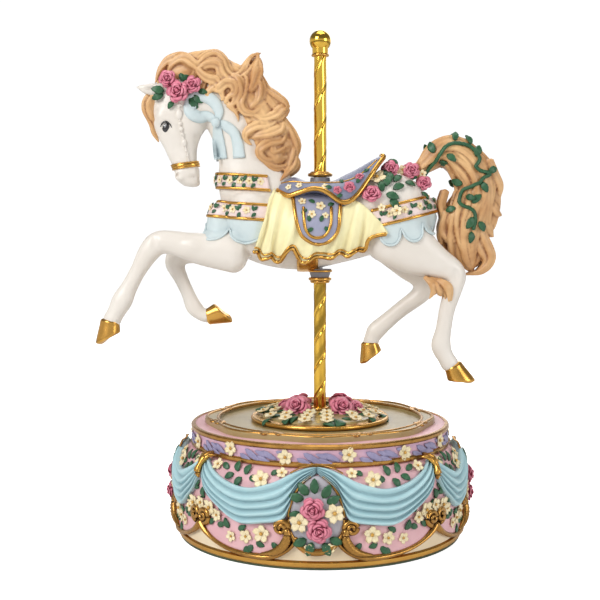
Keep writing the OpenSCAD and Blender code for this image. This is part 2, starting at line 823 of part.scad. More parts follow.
// Each hoof runs from the pastern to the sole: [stations, side, leg]
HOOVES = [[[[-124, -58, 5.6, 5.4], [-127, -67.5, 7, 6.6]], -leg_y, NEAR_FORE],
    [[[-68, -55.5, 4.4, 4.6], [-57, -52.5, 6.8, 6.4]], leg_y, FAR_FORE],
    [[[79, -85, 5.8, 5.6], [85, -93.5, 7, 6.6]], -leg_y, NEAR_HIND],
    [[[31.5, -72.5, 5.4, 5.4], [32.5, -80.5, 7.2, 6.6]], leg_y, FAR_HIND]];
module hooves() {
    color("gold") moulded() for (h = HOOVES) difference() {
        limb(h[0], y = h[1]);
        limb(h[2], y = h[1]);
    }
}

module mane() {
    color("peru") moulded() difference() {
        union() {
            limb(MANE);
            limb(LOCK, sides = 8);
        }
        horse_solid();
    }
}

module tail() {
    color("peru") moulded() difference() {
        limb(TAIL);
        horse_solid();
        limb(NEAR_HIND, y = -leg_y);
        limb(FAR_HIND, y = leg_y);
    }
}

module seat_solid() limb(SEAT, sides = 14);

flap_x = [-15, 10];
module flaps(grow, edge) {
    intersection() {
        limb(TORSO, sides = 18, grow = grow);
        at_horse((flap_x[0] + flap_x[1]) / 2, 0, 4) rotate([90, 0, 0])
            linear_extrude(90 * k, center = true) polygon([for (a = [180 : 15 : 360])
                k * [((flap_x[1] - flap_x[0]) / 2 + edge) * cos(a), (16 + edge) * sin(a)]]);
    }
}

module saddle() {
    color("slateblue") moulded() difference() {
        union() {
            seat_solid();
            flaps(3.6, 0);
        }
        horse_solid();
        pole_way();
        collar_way();
    }
}

module skirt_prism() {
    at_horse(-1, 0, 2) rotate([90, 0, 0]) linear_extrude(90 * k, center = true)
        polygon(k * [[-31, 20], [-38, -16], [-20, -24], [0, -16], [20, -16], [36, -8],
            [31, 16], [24, 20]]);
}

module saddle_skirt() {
    color("palegoldenrod") moulded() difference() {
        intersection() {
            limb(TORSO, sides = 18, grow = 2.2);
            skirt_prism();
        }
        horse_solid();
        seat_solid();
        flaps(3.6, 0);
        for (y = [-leg_y, leg_y]) {
            limb(NEAR_FORE, y = y);
            limb(NEAR_HIND, y = y);
            limb(FAR_HIND, y = y);
        }
        collar_way();
    }
}

// A strap: a slab of the horse's own skin, [x, z, length, height, lean]
module strap(place, skin) {
    intersection() {
        if (skin == "neck") limb(NECK, sides = 16, grow = 2.2);
        if (skin == "torso") limb(TORSO, sides = 18, grow = 2.4);
        at_horse(place[0], 0, place[1]) rotate([0, place[4], 0])
            cube(k * [place[2], 70, place[3]], center = true);
    }
}

module harness_straps() {
    color("mistyrose") moulded() difference() {
        union() {
            strap([-43.5, 25, 38, 8, 16], "neck");
            strap([-47, 7.6, 42, 8, 16], "torso");
            strap([47, 7.5, 38, 10, -14], "torso");
        }
        horse_solid();
        seat_solid();
        skirt_prism();
        limb(MANE);
        limb(TAIL);
        for (y = [-leg_y, leg_y]) {
            limb(NEAR_FORE, y = y);
            limb(FAR_FORE, y = y);
            limb(NEAR_HIND, y = y);
            limb(FAR_HIND, y = y);
        }
    }
}

// Roses: x, y, z and radius on the near side; the far side carries the same
ROSES = [[-90, 9, 87, 5], [-86, 11, 77, 6], [-75, 10.5, 83, 5], [29, 17, 18, 5.5],
    [42, 18, 21, 5.5], [54, 13, 21, 5.5]];
module horse_roses() {
    color("palevioletred") moulded() difference() {
        both_sides() for (r = ROSES) at_horse(r[0], r[1], r[2]) sphere(r = k * r[3], $fn = 12);
        horse_solid();
        limb(MANE);
        limb(TAIL);
        seat_solid();
        limb(TORSO, sides = 18, grow = 2.4);
    }
}

felt_ring();
foot_ring();
cream_skirt();
plinth_shell();
scroll_lobes();
drape_swags();
medallions();
swag_clips();
frieze_mouldings();
frieze_band();
deck_plate();
deck_border();
deck_field();
thrust_washer();
bottom_board();
board_screws();
shaft_bushes();
bedplate();
movement_screws();
spring_barrel();
mainspring();
cylinder_brackets();
train_brackets();
comb_base();
comb();
winding_key();
winding_arbor();
great_wheel();
music_cylinder();
cylinder_pins();
cylinder_arbor();
cylinder_pinion();
cylinder_wheel();
second_arbor();
worm_wheel();
governor_worm();
governor_fan();
turntable_disc();
turntable_shaft();
turntable_gear();
flower_mound();
mound_roses();
core_rod();
lower_pole();
upper_pole();
belly_collar();
saddle_collar();
finial();
horse_body();
near_foreleg();
far_foreleg();
near_hindleg();
far_hindleg();
hooves();
mane();
tail();
saddle();
saddle_skirt();
harness_straps();
horse_roses();
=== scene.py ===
# %% [markdown]
# This file dresses a wind-up music box: a carousel horse on a twisted brass
# pole over a round draped plinth. The real thing is cast resin, painted by
# hand, with a brass pole. The CAD model gives every size and every moving
# body; here each visible surface gets its finished shape and its paint.

# %% The frame
import math
import random

import bpy
import bmesh
import numpy as np
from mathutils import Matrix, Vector
from mathutils.bvhtree import BVHTree


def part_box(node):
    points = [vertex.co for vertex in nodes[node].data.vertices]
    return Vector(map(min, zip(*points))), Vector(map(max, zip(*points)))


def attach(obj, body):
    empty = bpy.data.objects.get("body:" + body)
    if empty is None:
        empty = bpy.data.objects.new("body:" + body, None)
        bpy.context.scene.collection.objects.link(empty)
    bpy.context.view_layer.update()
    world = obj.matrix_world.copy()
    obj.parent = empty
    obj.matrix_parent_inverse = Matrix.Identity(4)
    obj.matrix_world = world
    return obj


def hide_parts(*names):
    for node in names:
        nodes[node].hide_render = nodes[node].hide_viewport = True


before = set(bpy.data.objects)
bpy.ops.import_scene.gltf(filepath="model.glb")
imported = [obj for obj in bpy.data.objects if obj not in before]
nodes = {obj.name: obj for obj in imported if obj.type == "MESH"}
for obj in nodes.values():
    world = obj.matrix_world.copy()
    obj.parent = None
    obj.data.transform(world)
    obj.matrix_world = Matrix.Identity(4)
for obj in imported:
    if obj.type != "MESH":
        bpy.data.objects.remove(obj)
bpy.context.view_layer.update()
MM = 0.001
NEAR, FAR = -1, 1

# %% [markdown]
# The camera stands a little over half a metre in front of the horse and looks
# slightly down, as one would look at it on a shelf. The light is that of a
# photographer's table: one large soft box on each side and one above.

# %% Camera, floor and lights
camera = bpy.data.objects.new("camera", bpy.data.cameras.new("camera"))
bpy.context.scene.collection.objects.link(camera)
camera.location = (-0.012, -0.660, 0.184)
camera.rotation_euler = (math.radians(90 - 3.92), 0, 0)
camera.data.sensor_width = 36
camera.data.lens = 66
bpy.context.scene.camera = camera


def soft_box(name, place, aim, size, watts):
    light = bpy.data.objects.new(name, bpy.data.lights.new(name, "AREA"))
    light.data.size = size
    light.data.energy = watts
    light.location = place
    light.rotation_euler = (Vector(aim) - Vector(place)).to_track_quat("-Z", "Y").to_euler()
    bpy.context.scene.collection.objects.link(light)
    return light


soft_box("left_box", (-0.75, -0.85, 0.80), (0, 0, 0.16), 0.55, 10.5)
soft_box("right_box", (0.95, -0.65, 0.45), (0, 0, 0.14), 0.45, 3.5)
soft_box("top_box", (0.05, 0.05, 1.25), (0, 0, 0.1), 0.8, 6)
soft_box("back_box", (0.25, 1.1, 0.8), (0, 0, 0.15), 0.8, 5)

# The walls are white at eye level and dim above, so gilding has something dark
# to reflect between the lamps. The Standard view keeps the paints as mixed.
world = bpy.context.scene.world or bpy.data.worlds.new("studio")
bpy.context.scene.world = world
world.use_nodes = True
sky = world.node_tree
place = sky.nodes.new("ShaderNodeTexCoord")
height = sky.nodes.new("ShaderNodeSeparateXYZ")
ramp = sky.nodes.new("ShaderNodeValToRGB")
sky.links.new(place.outputs["Generated"], height.inputs[0])
sky.links.new(height.outputs["Z"], ramp.inputs[0])
ramp.color_ramp.elements[0].position = 0.14
ramp.color_ramp.elements[0].color = (1, 1, 1, 1)
ramp.color_ramp.elements[1].position = 0.42
ramp.color_ramp.elements[1].color = (0.26, 0.26, 0.27, 1)
seen = sky.nodes.new("ShaderNodeLightPath")
backdrop = sky.nodes.new("ShaderNodeMix")
backdrop.data_type = "RGBA"
backdrop.inputs[7].default_value = (1.35, 1.35, 1.35, 1)
sky.links.new(seen.outputs["Is Camera Ray"], backdrop.inputs[0])
sky.links.new(ramp.outputs["Color"], backdrop.inputs[6])
sky.links.new(backdrop.outputs[2], sky.nodes["Background"].inputs[0])
sky.nodes["Background"].inputs[1].default_value = 0.78
bpy.context.scene.view_settings.view_transform = "Standard"

bpy.ops.object.select_all(action="DESELECT")
bpy.ops.mesh.primitive_plane_add(size=30, location=(0, 0, -0.0004))
floor = bpy.context.active_object
floor.name = "floor"
floor_paint = bpy.data.materials.new("pale_table")
floor_paint.use_nodes = True
floor_paint.node_tree.nodes["Principled BSDF"].inputs["Base Color"].default_value = (0.86, 0.86, 0.86, 1)
floor_paint.node_tree.nodes["Principled BSDF"].inputs["Roughness"].default_value = 0.75
# The sheet of paper runs on as a bright backdrop: it glows for the camera only
paper = floor_paint.node_tree
seen = paper.nodes.new("ShaderNodeLightPath")
glow = paper.nodes.new("ShaderNodeMath")
glow.operation = "MULTIPLY"
glow.inputs[1].default_value = 0.9
paper.links.new(seen.outputs["Is Camera Ray"], glow.inputs[0])
paper.nodes["Principled BSDF"].inputs["Emission Color"].default_value = (1, 1, 1, 1)
paper.links.new(glow.outputs[0], paper.nodes["Principled BSDF"].inputs["Emission Strength"])
floor.data.materials.append(floor_paint)

# %% [markdown]
# Helpers. All of the modelling is thought out in millimetres, as a model
# maker would, and made into metres only when a mesh is created. Every mesh
# keeps its place in its own vertices, as the CAD nodes do.


# %% Mesh helpers
def work_on(obj, *others):
    bpy.ops.object.select_all(action="DESELECT")
    for o in (obj, *others):
        o.select_set(True)
    bpy.context.view_layer.objects.active = obj


def make(name, points, faces):
    mesh = bpy.data.meshes.new(name)
    mesh.from_pydata([tuple(float(c) * MM for c in p) for p in points], [], faces)
    shape = bmesh.new()
    shape.from_mesh(mesh)
    bmesh.ops.remove_doubles(shape, verts=shape.verts, dist=1e-6)
    bmesh.ops.recalc_face_normals(shape, faces=shape.faces)
    shape.to_mesh(mesh)
    shape.free()
    mesh.polygons.foreach_set("use_smooth", [True] * len(mesh.polygons))
    obj = bpy.data.objects.new(name, mesh)
    bpy.context.scene.collection.objects.link(obj)
    return obj


def apply(obj, kind, **values):
    work_on(obj)
    modifier = obj.modifiers.new(kind.lower(), kind)
    for key, value in values.items():
        setattr(modifier, key, value)
    bpy.ops.object.modifier_apply(modifier=modifier.name)
    return obj


def join(name, parts):
    work_on(parts[0], *parts[1:])
    if len(parts) > 1:
        bpy.ops.object.join()
    whole = bpy.context.active_object
    whole.name = whole.data.name = name
    return whole


def melt(obj, voxel, rounds, factor):
    """Makes overlapping closed shapes one skin, as clay pressed together."""
    apply(obj, "REMESH", mode="VOXEL", voxel_size=voxel * MM, use_smooth_shade=True)
    return apply(obj, "SMOOTH", iterations=rounds, factor=factor)


def co_of(obj):
    co = np.zeros(len(obj.data.vertices) * 3)
    obj.data.vertices.foreach_get("co", co)
    return co.reshape(-1, 3) / MM


def set_co(obj, co):
    obj.data.vertices.foreach_set("co", (np.asarray(co) * MM).ravel())
    obj.data.update()


def flow(points, steps):
    """A smooth curve through all the points, with steps points for each gap."""
    p = np.asarray(points, float)
    p = np.vstack([2 * p[0] - p[1], p, 2 * p[-1] - p[-2]])
    out = []
    for i in range(1, len(p) - 2):
        a, b, c, d = p[i - 1: i + 3]
        for t in np.arange(steps) / steps:
            out.append(0.5 * (2 * b + (c - a) * t + (2 * a - 5 * b + 4 * c - d) * t ** 2
                              + (3 * b - a - 3 * c + d) * t ** 3))
    out.append(p[-2])
    return np.array(out)


def stitch(rings):
    """Faces between rings of equal size, with a cap on each end."""
    sides = len(rings[0])
    points = [p for ring in rings for p in ring]
    faces = []
    for i in range(len(rings) - 1):
        for j in range(sides):
            a, b = i * sides + j, i * sides + (j + 1) % sides
            faces.append((a, b, b + sides, a + sides))
    faces.append(tuple(range(sides))[::-1])
    faces.append(tuple((len(rings) - 1) * sides + j for j in range(sides)))
    return points, faces


def loft(name, stations, y=0.0, sides=28):
    """A limb through stations of [x, z, half thickness, half width]; z counts from the riding height."""
    s = flow(stations, 5)
    s[:, 2:] = np.maximum(s[:, 2:], 0.3)
    way = np.gradient(s[:, :2], axis=0)
    way /= np.linalg.norm(way, axis=1)[:, None]
    turn = np.linspace(0, 2 * np.pi, sides, endpoint=False)

    def ring(i, share, out):
        x, z, r, w = s[i]
        dx, dz = way[i]
        return [(x + dx * out * r - dz * share * r * math.cos(t), y + share * w * math.sin(t),
                 RIDE + z + dz * out * r + dx * share * r * math.cos(t)) for t in turn]

    last = len(s) - 1
    dome = [(math.sin(a), math.cos(a)) for a in np.radians([12, 35, 60])]
    rings = [ring(0, d[0], -0.62 * d[1]) for d in dome] + [ring(i, 1, 0) for i in range(last + 1)]
    rings += [ring(last, d[0], 0.62 * d[1]) for d in dome[::-1]]
    return make(name, *stitch(rings))


def tube(name, path, radius, sides=8, steps=4, flat=1.0, ridges=0, depth=0.0, twist=0.0, level=None):
    """A tapering strand along 3-D points; flat squeezes it and ridges groove it lengthways."""
    p = flow(np.column_stack([path, np.broadcast_to(radius, len(path))]), steps)
    r = np.maximum(p[:, 3], 0.05)
    p = p[:, :3]
    way = np.gradient(p, axis=0)
    way /= np.maximum(np.linalg.norm(way, axis=1)[:, None], 1e-9)
    up = np.array(level if level is not None else (0.0, 1.0, 0.0), float)
    turn = np.linspace(0, 2 * np.pi, sides, endpoint=False)
    rings = []
    for i, (c, d) in enumerate(zip(p, way)):
        side = np.cross(d, up)
        side /= max(np.linalg.norm(side), 1e-9)
        across = np.cross(side, d)
        a = turn + twist * i / len(p)
        bump = 1 + depth * np.cos(ridges * a) if ridges else 1.0
        rings.append(c + r[i] * np.outer(np.cos(a) * bump, side) + r[i] * flat * np.outer(np.sin(a) * bump, across))
    first, last = p[0] - way[0] * r[0] * 0.4, p[-1] + way[-1] * r[-1] * 0.4
    rings = [first + 0.4 * (rings[0] - p[0])] + rings + [last + 0.4 * (rings[-1] - p[-1])]
    return make(name, *stitch(rings))


def slab(name, front, back):
    """A thick sheet from two grids of points, closed all round."""
    rows, cols = front.shape[:2]
    points = list(front.reshape(-1, 3)) + list(back.reshape(-1, 3))
    n = rows * cols
    faces = []
    for i in range(rows - 1):
        for j in range(cols - 1):
            a = i * cols + j
            faces.append((a, a + 1, a + cols + 1, a + cols))
            faces.append((n + a, n + a + cols, n + a + cols + 1, n + a + 1))
    edge = ([(0, j) for j in range(cols)] + [(i, cols - 1) for i in range(1, rows)]
            + [(rows - 1, j) for j in range(cols - 2, -1, -1)] + [(i, 0) for i in range(rows - 2, 0, -1)])
    ids = [i * cols + j for i, j in edge]
    for a, b in zip(ids, ids[1:] + ids[:1]):
        faces.append((a, b, n + b, n + a))
    return make(name, points, faces)


# %% [markdown]
# Paint. The resin is sprayed one colour and brushed with a second. A brown is
# then laid in the hollows as painted shade: it stands for the thin brown wash
# there and for the shade that falls in them. One node group does that for every
# painted part: the mesh's own creases are found by pointiness, the hidden places
# by ambient occlusion, and two sizes of cloud noise give the brushed unevenness.


# %% Paint and gilding
def new_group(name, inputs, outputs):
    group = bpy.data.node_groups.new(name, "ShaderNodeTree")
    for label, kind, value in inputs:
        socket = group.interface.new_socket(name=label, in_out="INPUT", socket_type=kind)
        socket.default_value = value
    for label, kind in outputs:
        group.interface.new_socket(name=label, in_out="OUTPUT", socket_type=kind)
    return group, group.nodes.new("NodeGroupInput"), group.nodes.new("NodeGroupOutput")


COLOUR, NUMBER = "NodeSocketColor", "NodeSocketFloat"
# Cloud noise mixes the Paint and Second colours; the third colour and its strength are the painted shade for creases
# and hollows.
painted, p_in, p_out = new_group(
    "hand_painted",
    [("Paint", COLOUR, (1, 1, 1, 1)), ("Second", COLOUR, (1, 1, 1, 1)), ("Painted Shade", COLOUR, (0.3, 0.2, 0.1, 1)),
     ("Painted Shade Strength", NUMBER, 0.6), ("Cloud Scale", NUMBER, 90.0), ("Cloud Amount", NUMBER, 0.6),
     ("Crease Low", NUMBER, 0.40), ("Crease High", NUMBER, 0.50)],
    [("Color", COLOUR), ("Roughness", NUMBER), ("Height", NUMBER), ("Crease", NUMBER)])


def node(tree, kind, **values):
    made = tree.nodes.new(kind)
    for key, value in values.items():
        if key.startswith("in_"):
            made.inputs[int(key[3:])].default_value = value
        else:
            setattr(made, key, value)
    return made


coords = node(painted, "ShaderNodeTexCoord")
cloud = node(painted, "ShaderNodeTexNoise", in_3=3.0, in_4=0.55)
fine = node(painted, "ShaderNodeTexNoise", in_2=1400.0, in_3=2.0)
spread = node(painted, "ShaderNodeMapRange", in_1=0.35, in_2=0.68)
amount = node(painted, "ShaderNodeMath", operation="MULTIPLY")
two = node(painted, "ShaderNodeMix", data_type="RGBA")
geometry = node(painted, "ShaderNodeNewGeometry")
# Painted shade: creases found by pointiness, and hollows that ambient occlusion finds hidden, darken the paint towards
# the shade colour.
crease = node(painted, "ShaderNodeMapRange", in_3=1.0, in_4=0.0)
near = node(painted, "ShaderNodeAmbientOcclusion", samples=6, only_local=True)
near.inputs["Distance"].default_value = 0.0022
occluded_shade = node(painted, "ShaderNodeMapRange", in_1=0.35, in_2=0.92, in_3=0.9, in_4=0.0)
shade_mask = node(painted, "ShaderNodeMath", operation="MAXIMUM")
painted_shade_amount = node(painted, "ShaderNodeMath", operation="MULTIPLY")
final = node(painted, "ShaderNodeMix", data_type="RGBA")
rough = node(painted, "ShaderNodeMapRange", in_3=0.34, in_4=0.52)
for giver, output, taker, socket in (
        (coords, "Object", cloud, "Vector"), (coords, "Object", fine, "Vector"),
        (p_in, "Cloud Scale", cloud, "Scale"), (cloud, "Fac", spread, 0), (spread, 0, amount, 0),
        (p_in, "Cloud Amount", amount, 1), (amount, 0, two, 0), (p_in, "Paint", two, 6),
        (p_in, "Second", two, 7), (geometry, "Pointiness", crease, 0), (p_in, "Crease Low", crease, 1),
        (p_in, "Crease High", crease, 2), (near, "AO", occluded_shade, 0), (crease, 0, shade_mask, 0),
        (occluded_shade, 0, shade_mask, 1), (shade_mask, 0, painted_shade_amount, 0), (p_in, "Painted Shade Strength", painted_shade_amount, 1), (painted_shade_amount, 0, final, 0),
        (two, 2, final, 6), (p_in, "Painted Shade", final, 7), (fine, "Fac", rough, 0), (final, 2, p_out, "Color"),
        (rough, 0, p_out, "Roughness"), (fine, "Fac", p_out, "Height"), (crease, 0, p_out, "Crease")):
    painted.links.new(giver.outputs[output], taker.inputs[socket])


def rgb(r, g, b):
    """A colour as a paint chart gives it, made linear for the renderer."""
    return tuple((c / 255 / 12.92) if c <= 10 else ((c / 255 + 0.055) / 1.055) ** 2.4 for c in (r, g, b)) + (1.0,)


# The colour and strength after the second paint give the brown painted shade, laid into creases and hollows where
# shade falls.
def paint(name, main, second, painted_shade_colour, painted_shade_amount=0.6, scale=90.0, amount=0.6, low=0.40, high=0.50,
          coat=0.0, bump=0.05, metal=None):
    material = bpy.data.materials.new(name)
    material.use_nodes = True
    tree = material.node_tree
    shader = tree.nodes["Principled BSDF"]
    effect = tree.nodes.new("ShaderNodeGroup")
    effect.node_tree = painted
    for label, value in (("Paint", main), ("Second", second), ("Painted Shade", painted_shade_colour), ("Painted Shade Strength", painted_shade_amount),
                         ("Cloud Scale", scale), ("Cloud Amount", amount), ("Crease Low", low),
                         ("Crease High", high)):
        effect.inputs[label].default_value = value
    tree.links.new(effect.outputs["Color"], shader.inputs["Base Color"])
    relief = tree.nodes.new("ShaderNodeBump")
    relief.inputs["Strength"].default_value = bump
    relief.inputs["Distance"].default_value = 0.0004
    tree.links.new(effect.outputs["Height"], relief.inputs["Height"])
    tree.links.new(relief.outputs["Normal"], shader.inputs["Normal"])
    if metal is None:
        tree.links.new(effect.outputs["Roughness"], shader.inputs["Roughness"])
        shader.inputs["Coat Weight"].default_value = coat
        shader.inputs["Coat Roughness"].default_value = 0.2
    else:
        # In the creases, where the painted shade lies, the gilt is also made dull and less metal, so the metal shows
        # only on the raised parts
        bare = tree.nodes.new("ShaderNodeMapRange")
        bare.inputs[3].default_value = metal
        bare.inputs[4].default_value = 0.25
        tree.links.new(effect.outputs["Crease"], bare.inputs[0])
        tree.links.new(bare.outputs[0], shader.inputs["Metallic"])
        dull = tree.nodes.new("ShaderNodeMapRange")
        dull.inputs[3].default_value = 0.26 if metal < 1 else 0.13
        dull.inputs[4].default_value = 0.6
        tree.links.new(effect.outputs["Crease"], dull.inputs[0])
        tree.links.new(dull.outputs[0], shader.inputs["Roughness"])
    return material


# Each paint's third colour is its painted shade, the brown darkening of its creases and hollows.
ivory = paint("ivory_glaze", rgb(226, 219, 209), rgb(216, 207, 195), rgb(172, 150, 130), 0.5, 40, 0.5, 0.42, 0.49,
              coat=0.25)
hair = paint("hair_glaze", rgb(188, 136, 84), rgb(230, 188, 134), rgb(128, 76, 36), 0.9, 48, 1.0, 0.455, 0.507)
pink = paint("pink_glaze", rgb(226, 180, 184), rgb(216, 164, 170), rgb(170, 104, 98), 0.45, 60)
cream = paint("cream_glaze", rgb(232, 214, 182), rgb(222, 198, 160), rgb(170, 120, 70), 0.5, 60)
blue = paint("blue_glaze", rgb(178, 211, 215), rgb(162, 200, 207), rgb(92, 130, 142), 0.85, 80, 0.5, 0.42, 0.5)
pale_blue = paint("ribbon_glaze", rgb(202, 214, 214), rgb(188, 204, 206), rgb(132, 156, 166), 0.7, 80)
lilac = paint("lilac_glaze", rgb(214, 172, 186), rgb(196, 160, 186), rgb(130, 90, 110), 0.4, 140, 0.9)
grey_lilac = paint("medallion_glaze", rgb(172, 168, 174), rgb(152, 150, 156), rgb(96, 88, 98), 0.6, 90)
lavender = paint("lavender_strokes", rgb(136, 132, 166), rgb(166, 156, 186), rgb(84, 76, 120), 0.5, 300)
rose = paint("rose_glaze", rgb(220, 122, 144), rgb(232, 156, 172), rgb(150, 44, 72), 0.95, 220, 0.6, 0.36, 0.53)
leaf = paint("leaf_glaze", rgb(36, 82, 52), rgb(56, 108, 68), rgb(12, 36, 22), 0.75, 260, 0.6, 0.38, 0.52)
blossom = paint("blossom_glaze", rgb(244, 232, 194), rgb(236, 216, 164), rgb(190, 140, 70), 0.7, 260)
ochre = paint("blossom_centre", rgb(206, 160, 70), rgb(180, 120, 50), rgb(110, 70, 20), 0.6, 300)
yellow = paint("skirt_glaze", rgb(242, 234, 184), rgb(234, 222, 166), rgb(190, 160, 96), 0.6, 70, 0.6, 0.42, 0.5)
slate = paint("saddle_glaze", rgb(120, 124, 146), rgb(142, 144, 164), rgb(60, 60, 80), 0.6, 110)
flap_grey = paint("flap_glaze", rgb(160, 161, 182), rgb(142, 145, 168), rgb(84, 84, 104), 0.6, 130)
strap_pink = paint("strap_glaze", rgb(232, 212, 206), rgb(226, 202, 196), rgb(180, 130, 110), 0.5, 150)
grey = paint("collar_glaze", rgb(126, 122, 124), rgb(104, 100, 104), rgb(50, 46, 48), 0.5, 120)
gilt = paint("antique_gilt", rgb(184, 138, 70), rgb(150, 106, 50), rgb(62, 38, 18), 1.0, 180, 0.7, 0.42, 0.51,
             metal=0.85)
bright_gilt = paint("bright_gilt", rgb(214, 164, 82), rgb(190, 138, 64), rgb(88, 54, 24), 0.9, 120, 0.5, 0.40, 0.5,
                    metal=0.95)
field_gilt = paint("satin_gold", rgb(168, 148, 98), rgb(148, 128, 80), rgb(90, 68, 36), 0.5, 55, 0.7, coat=0.5)
brass = paint("polished_brass", rgb(228, 184, 78), rgb(214, 166, 58), rgb(110, 70, 22), 0.6, 40, 0.4, 0.36, 0.49,
              metal=1.0, bump=0.01)
print("paints", len(bpy.data.materials))

def done(name, parts, material, body, slot, *replaced):
    """Joins the parts to one painted piece, on its body, in place of the CAD nodes it replaces."""
    piece = join(name, parts)
    piece.data.materials.clear()
    piece.data.materials.append(material)
    piece.data.polygons.foreach_set("use_smooth", [True] * len(piece.data.polygons))
    piece.data.polygons.foreach_set("material_index", [0] * len(piece.data.polygons))
    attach(piece, body)
    if replaced:
        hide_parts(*replaced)
    return piece


def settle(grid, rounds):
    """Evens how far a cloth or strand stands out: being stiff, it can't follow a sudden step."""
    y = grid[..., 1]
    for _ in range(rounds):
        y[1:-1] = 0.5 * y[1:-1] + 0.25 * (y[:-2] + y[2:])
    return grid


def two_faces(rows, columns, at):
    """The outer and the inner grid of a thick sheet; at(u, v) gives a point of each."""
    grid = np.array([[at(u, v) for u in columns] for v in rows])
    return grid[:, :, 0].copy(), grid[:, :, 1].copy()


# %% [markdown]
# The horse's body is one casting, so it is built the way a modeller builds it
# in clay: fat rolls for the barrel, neck, head and legs, lumps for the
# muscles, all pressed together, smoothed, and then dented with a finger. The
# rolls follow the CAD horse's own sections. Lofting and melting was chosen
# over box modelling because the skin has no seams where the legs join.

# %% Body of the horse
BELLY = 26.5     # from the belly up to the level that the stations count from
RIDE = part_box("belly_collar")[1].z / MM + BELLY
TORSO = [[-57, 4, 11, 9], [-46, 3, 20, 15.5], [-30, 0, 24.5, 19.5], [-10, -2.5, 24.5, 21],
         [12, 0, 22.5, 19.5], [27, 5.5, 24.5, 20], [42, 6, 25, 20], [54, 5, 21, 17], [61, 4, 13, 11]]
NECK = [[-34, 12, 24, 15.5], [-41, 26, 20.5, 12.5], [-44, 40, 17, 10.5], [-50, 55, 15, 9.5],
        [-59, 69, 13.5, 9], [-70, 78, 12.5, 8.5]]
HEAD = [[-82, 80, 13, 8], [-85, 72, 15, 9.3], [-84.5, 63, 15.8, 9.6], [-83.5, 54, 13.6, 8.6],
        [-82.5, 45, 9.8, 7.0], [-80.5, 36, 7.6, 6.0], [-78.8, 30, 7.6, 6.4], [-77.3, 27, 6.3, 5.6]]
EARS = [[-93.5, 79, 4.6, 3.2], [-101, 79.5, 3.7, 2.4], [-106, 80.5, 2.2, 1.4], [-109, 81, 0.6, 0.5]]
NEAR_FORE = [[-50, -16, 13, 9], [-70, -14.5, 9.6, 7.5], [-85, -11, 7.4, 6.6], [-95, -10.5, 7.0, 6.3],
             [-101, -16, 6.6, 5.8], [-107.5, -27, 5.0, 4.7], [-113, -37, 5.2, 4.7], [-117, -44.5, 6.4, 5.5],
             [-121, -52, 5.4, 5.0], [-123.5, -56.5, 5.7, 5.2]]
FAR_FORE = [[-50, -12, 13, 9], [-70, -15, 9, 7.5], [-83, -17, 7.4, 6.6], [-88.5, -23, 6.2, 5.8],
            [-84.5, -33, 4.5, 4.5], [-80, -43, 4.4, 4.4], [-77, -50, 5.2, 4.8], [-72, -54.8, 4.3, 4.4],
            [-68.5, -55.6, 4.6, 4.8]]
NEAR_HIND = [[46, -8, 18, 10], [57, -16, 14.5, 9], [69, -22.5, 9.6, 7.5], [79, -29, 7.2, 6],
             [78.5, -38, 5.6, 5], [75, -50, 4.9, 4.6], [73, -62, 4.9, 4.6], [71.6, -71.5, 6.1, 5.3],
             [74.2, -78, 5.2, 4.9], [77.2, -83, 5.6, 5.2]]
FAR_HIND = [[46, -8, 18, 10], [57, -22, 13.5, 9], [65, -34, 8.4, 7], [61.5, -42.5, 5.9, 5.5],
            [50, -51.5, 5.0, 4.8], [40.5, -59.5, 5.2, 4.8], [34.5, -65, 5.8, 5.1], [32, -69.5, 4.8, 4.7],
            [31.3, -72, 5.3, 5.0]]
LEG_Y = 11.0


def lump(name, place, size, turn=0.0):
    """An egg of clay: place [x, y, z over the riding height], half sizes, and a turn in the side view."""
    bpy.ops.object.select_all(action="DESELECT")
    bpy.ops.mesh.primitive_uv_sphere_add(segments=20, ring_count=12, radius=1)
    egg = bpy.context.active_object
    egg.name = name
    co = co_of(egg) * MM * np.array(size)
    c, s = math.cos(math.radians(turn)), math.sin(math.radians(turn))
    co = np.column_stack([co[:, 0] * c + co[:, 2] * s, co[:, 1], co[:, 2] * c - co[:, 0] * s])
    set_co(egg, co + np.array([place[0], place[1], RIDE + place[2]]))
    return egg


clay = [loft("torso", TORSO, sides=40), loft("neck", NECK, sides=32), loft("head", HEAD, sides=28)]
for side in (NEAR, FAR):
    clay.append(loft("ear", EARS, y=side * 5.2, sides=12))
clay += [loft("near_fore", NEAR_FORE, y=-LEG_Y), loft("far_fore", FAR_FORE, y=LEG_Y),
         loft("near_hind", NEAR_HIND, y=-LEG_Y), loft("far_hind", FAR_HIND, y=LEG_Y)]
for side in (NEAR, FAR):
    clay += [lump("shoulder", (-38, side * 10, 0), (15, 10.5, 22), -22),
             lump("haunch", (44, side * 9.5, -1), (19, 12, 23), 18),
             lump("stifle", (46, side * 11, -14), (13, 9, 12), 40),
             lump("jowl", (-78, side * 3.4, 62), (11, 6.6, 12.5), 10),
             lump("brow", (-92.5, side * 6.0, 63.5), (5.5, 3.6, 4.2), 55),
             lump("nostril_rim", (-83.3, side * 4.2, 29.0), (3.6, 2.6, 3.6), 30),
             lump("breast", (-58, side * 6, 0), (9, 8, 14), 8)]
clay += [lump("forearm", (-74, -LEG_Y, -13), (15, 8.2, 8.5), 0), lump("gaskin", (64, -LEG_Y, -21), (15, 8, 9), 32),
         lump("forearm_far", (-70, LEG_Y, -15), (14, 8, 8.5), 0), lump("gaskin_far", (60, LEG_Y, -28), (13, 7.5, 9),
                                                                       48),
         lump("lip", (-76.5, 0, 25.5), (5.5, 5.2, 3.4), 12)]
horse = melt(join("horse", clay), 1.0, 14, 0.55)


def dent(obj, place, reach, depth, toward):
    """Pushes the skin near a place, as a finger or a wire tool would; a negative depth pulls it out."""
    co = co_of(obj)
    centre = np.array([place[0], place[1], RIDE + place[2]])
    gap = (co - centre) / np.array(reach, float)
    near = (gap ** 2).sum(1)
    push = np.where(near < 1, (1 - near) ** 2, 0)[:, None] * depth * np.array(toward, float)
    set_co(obj, co + push)


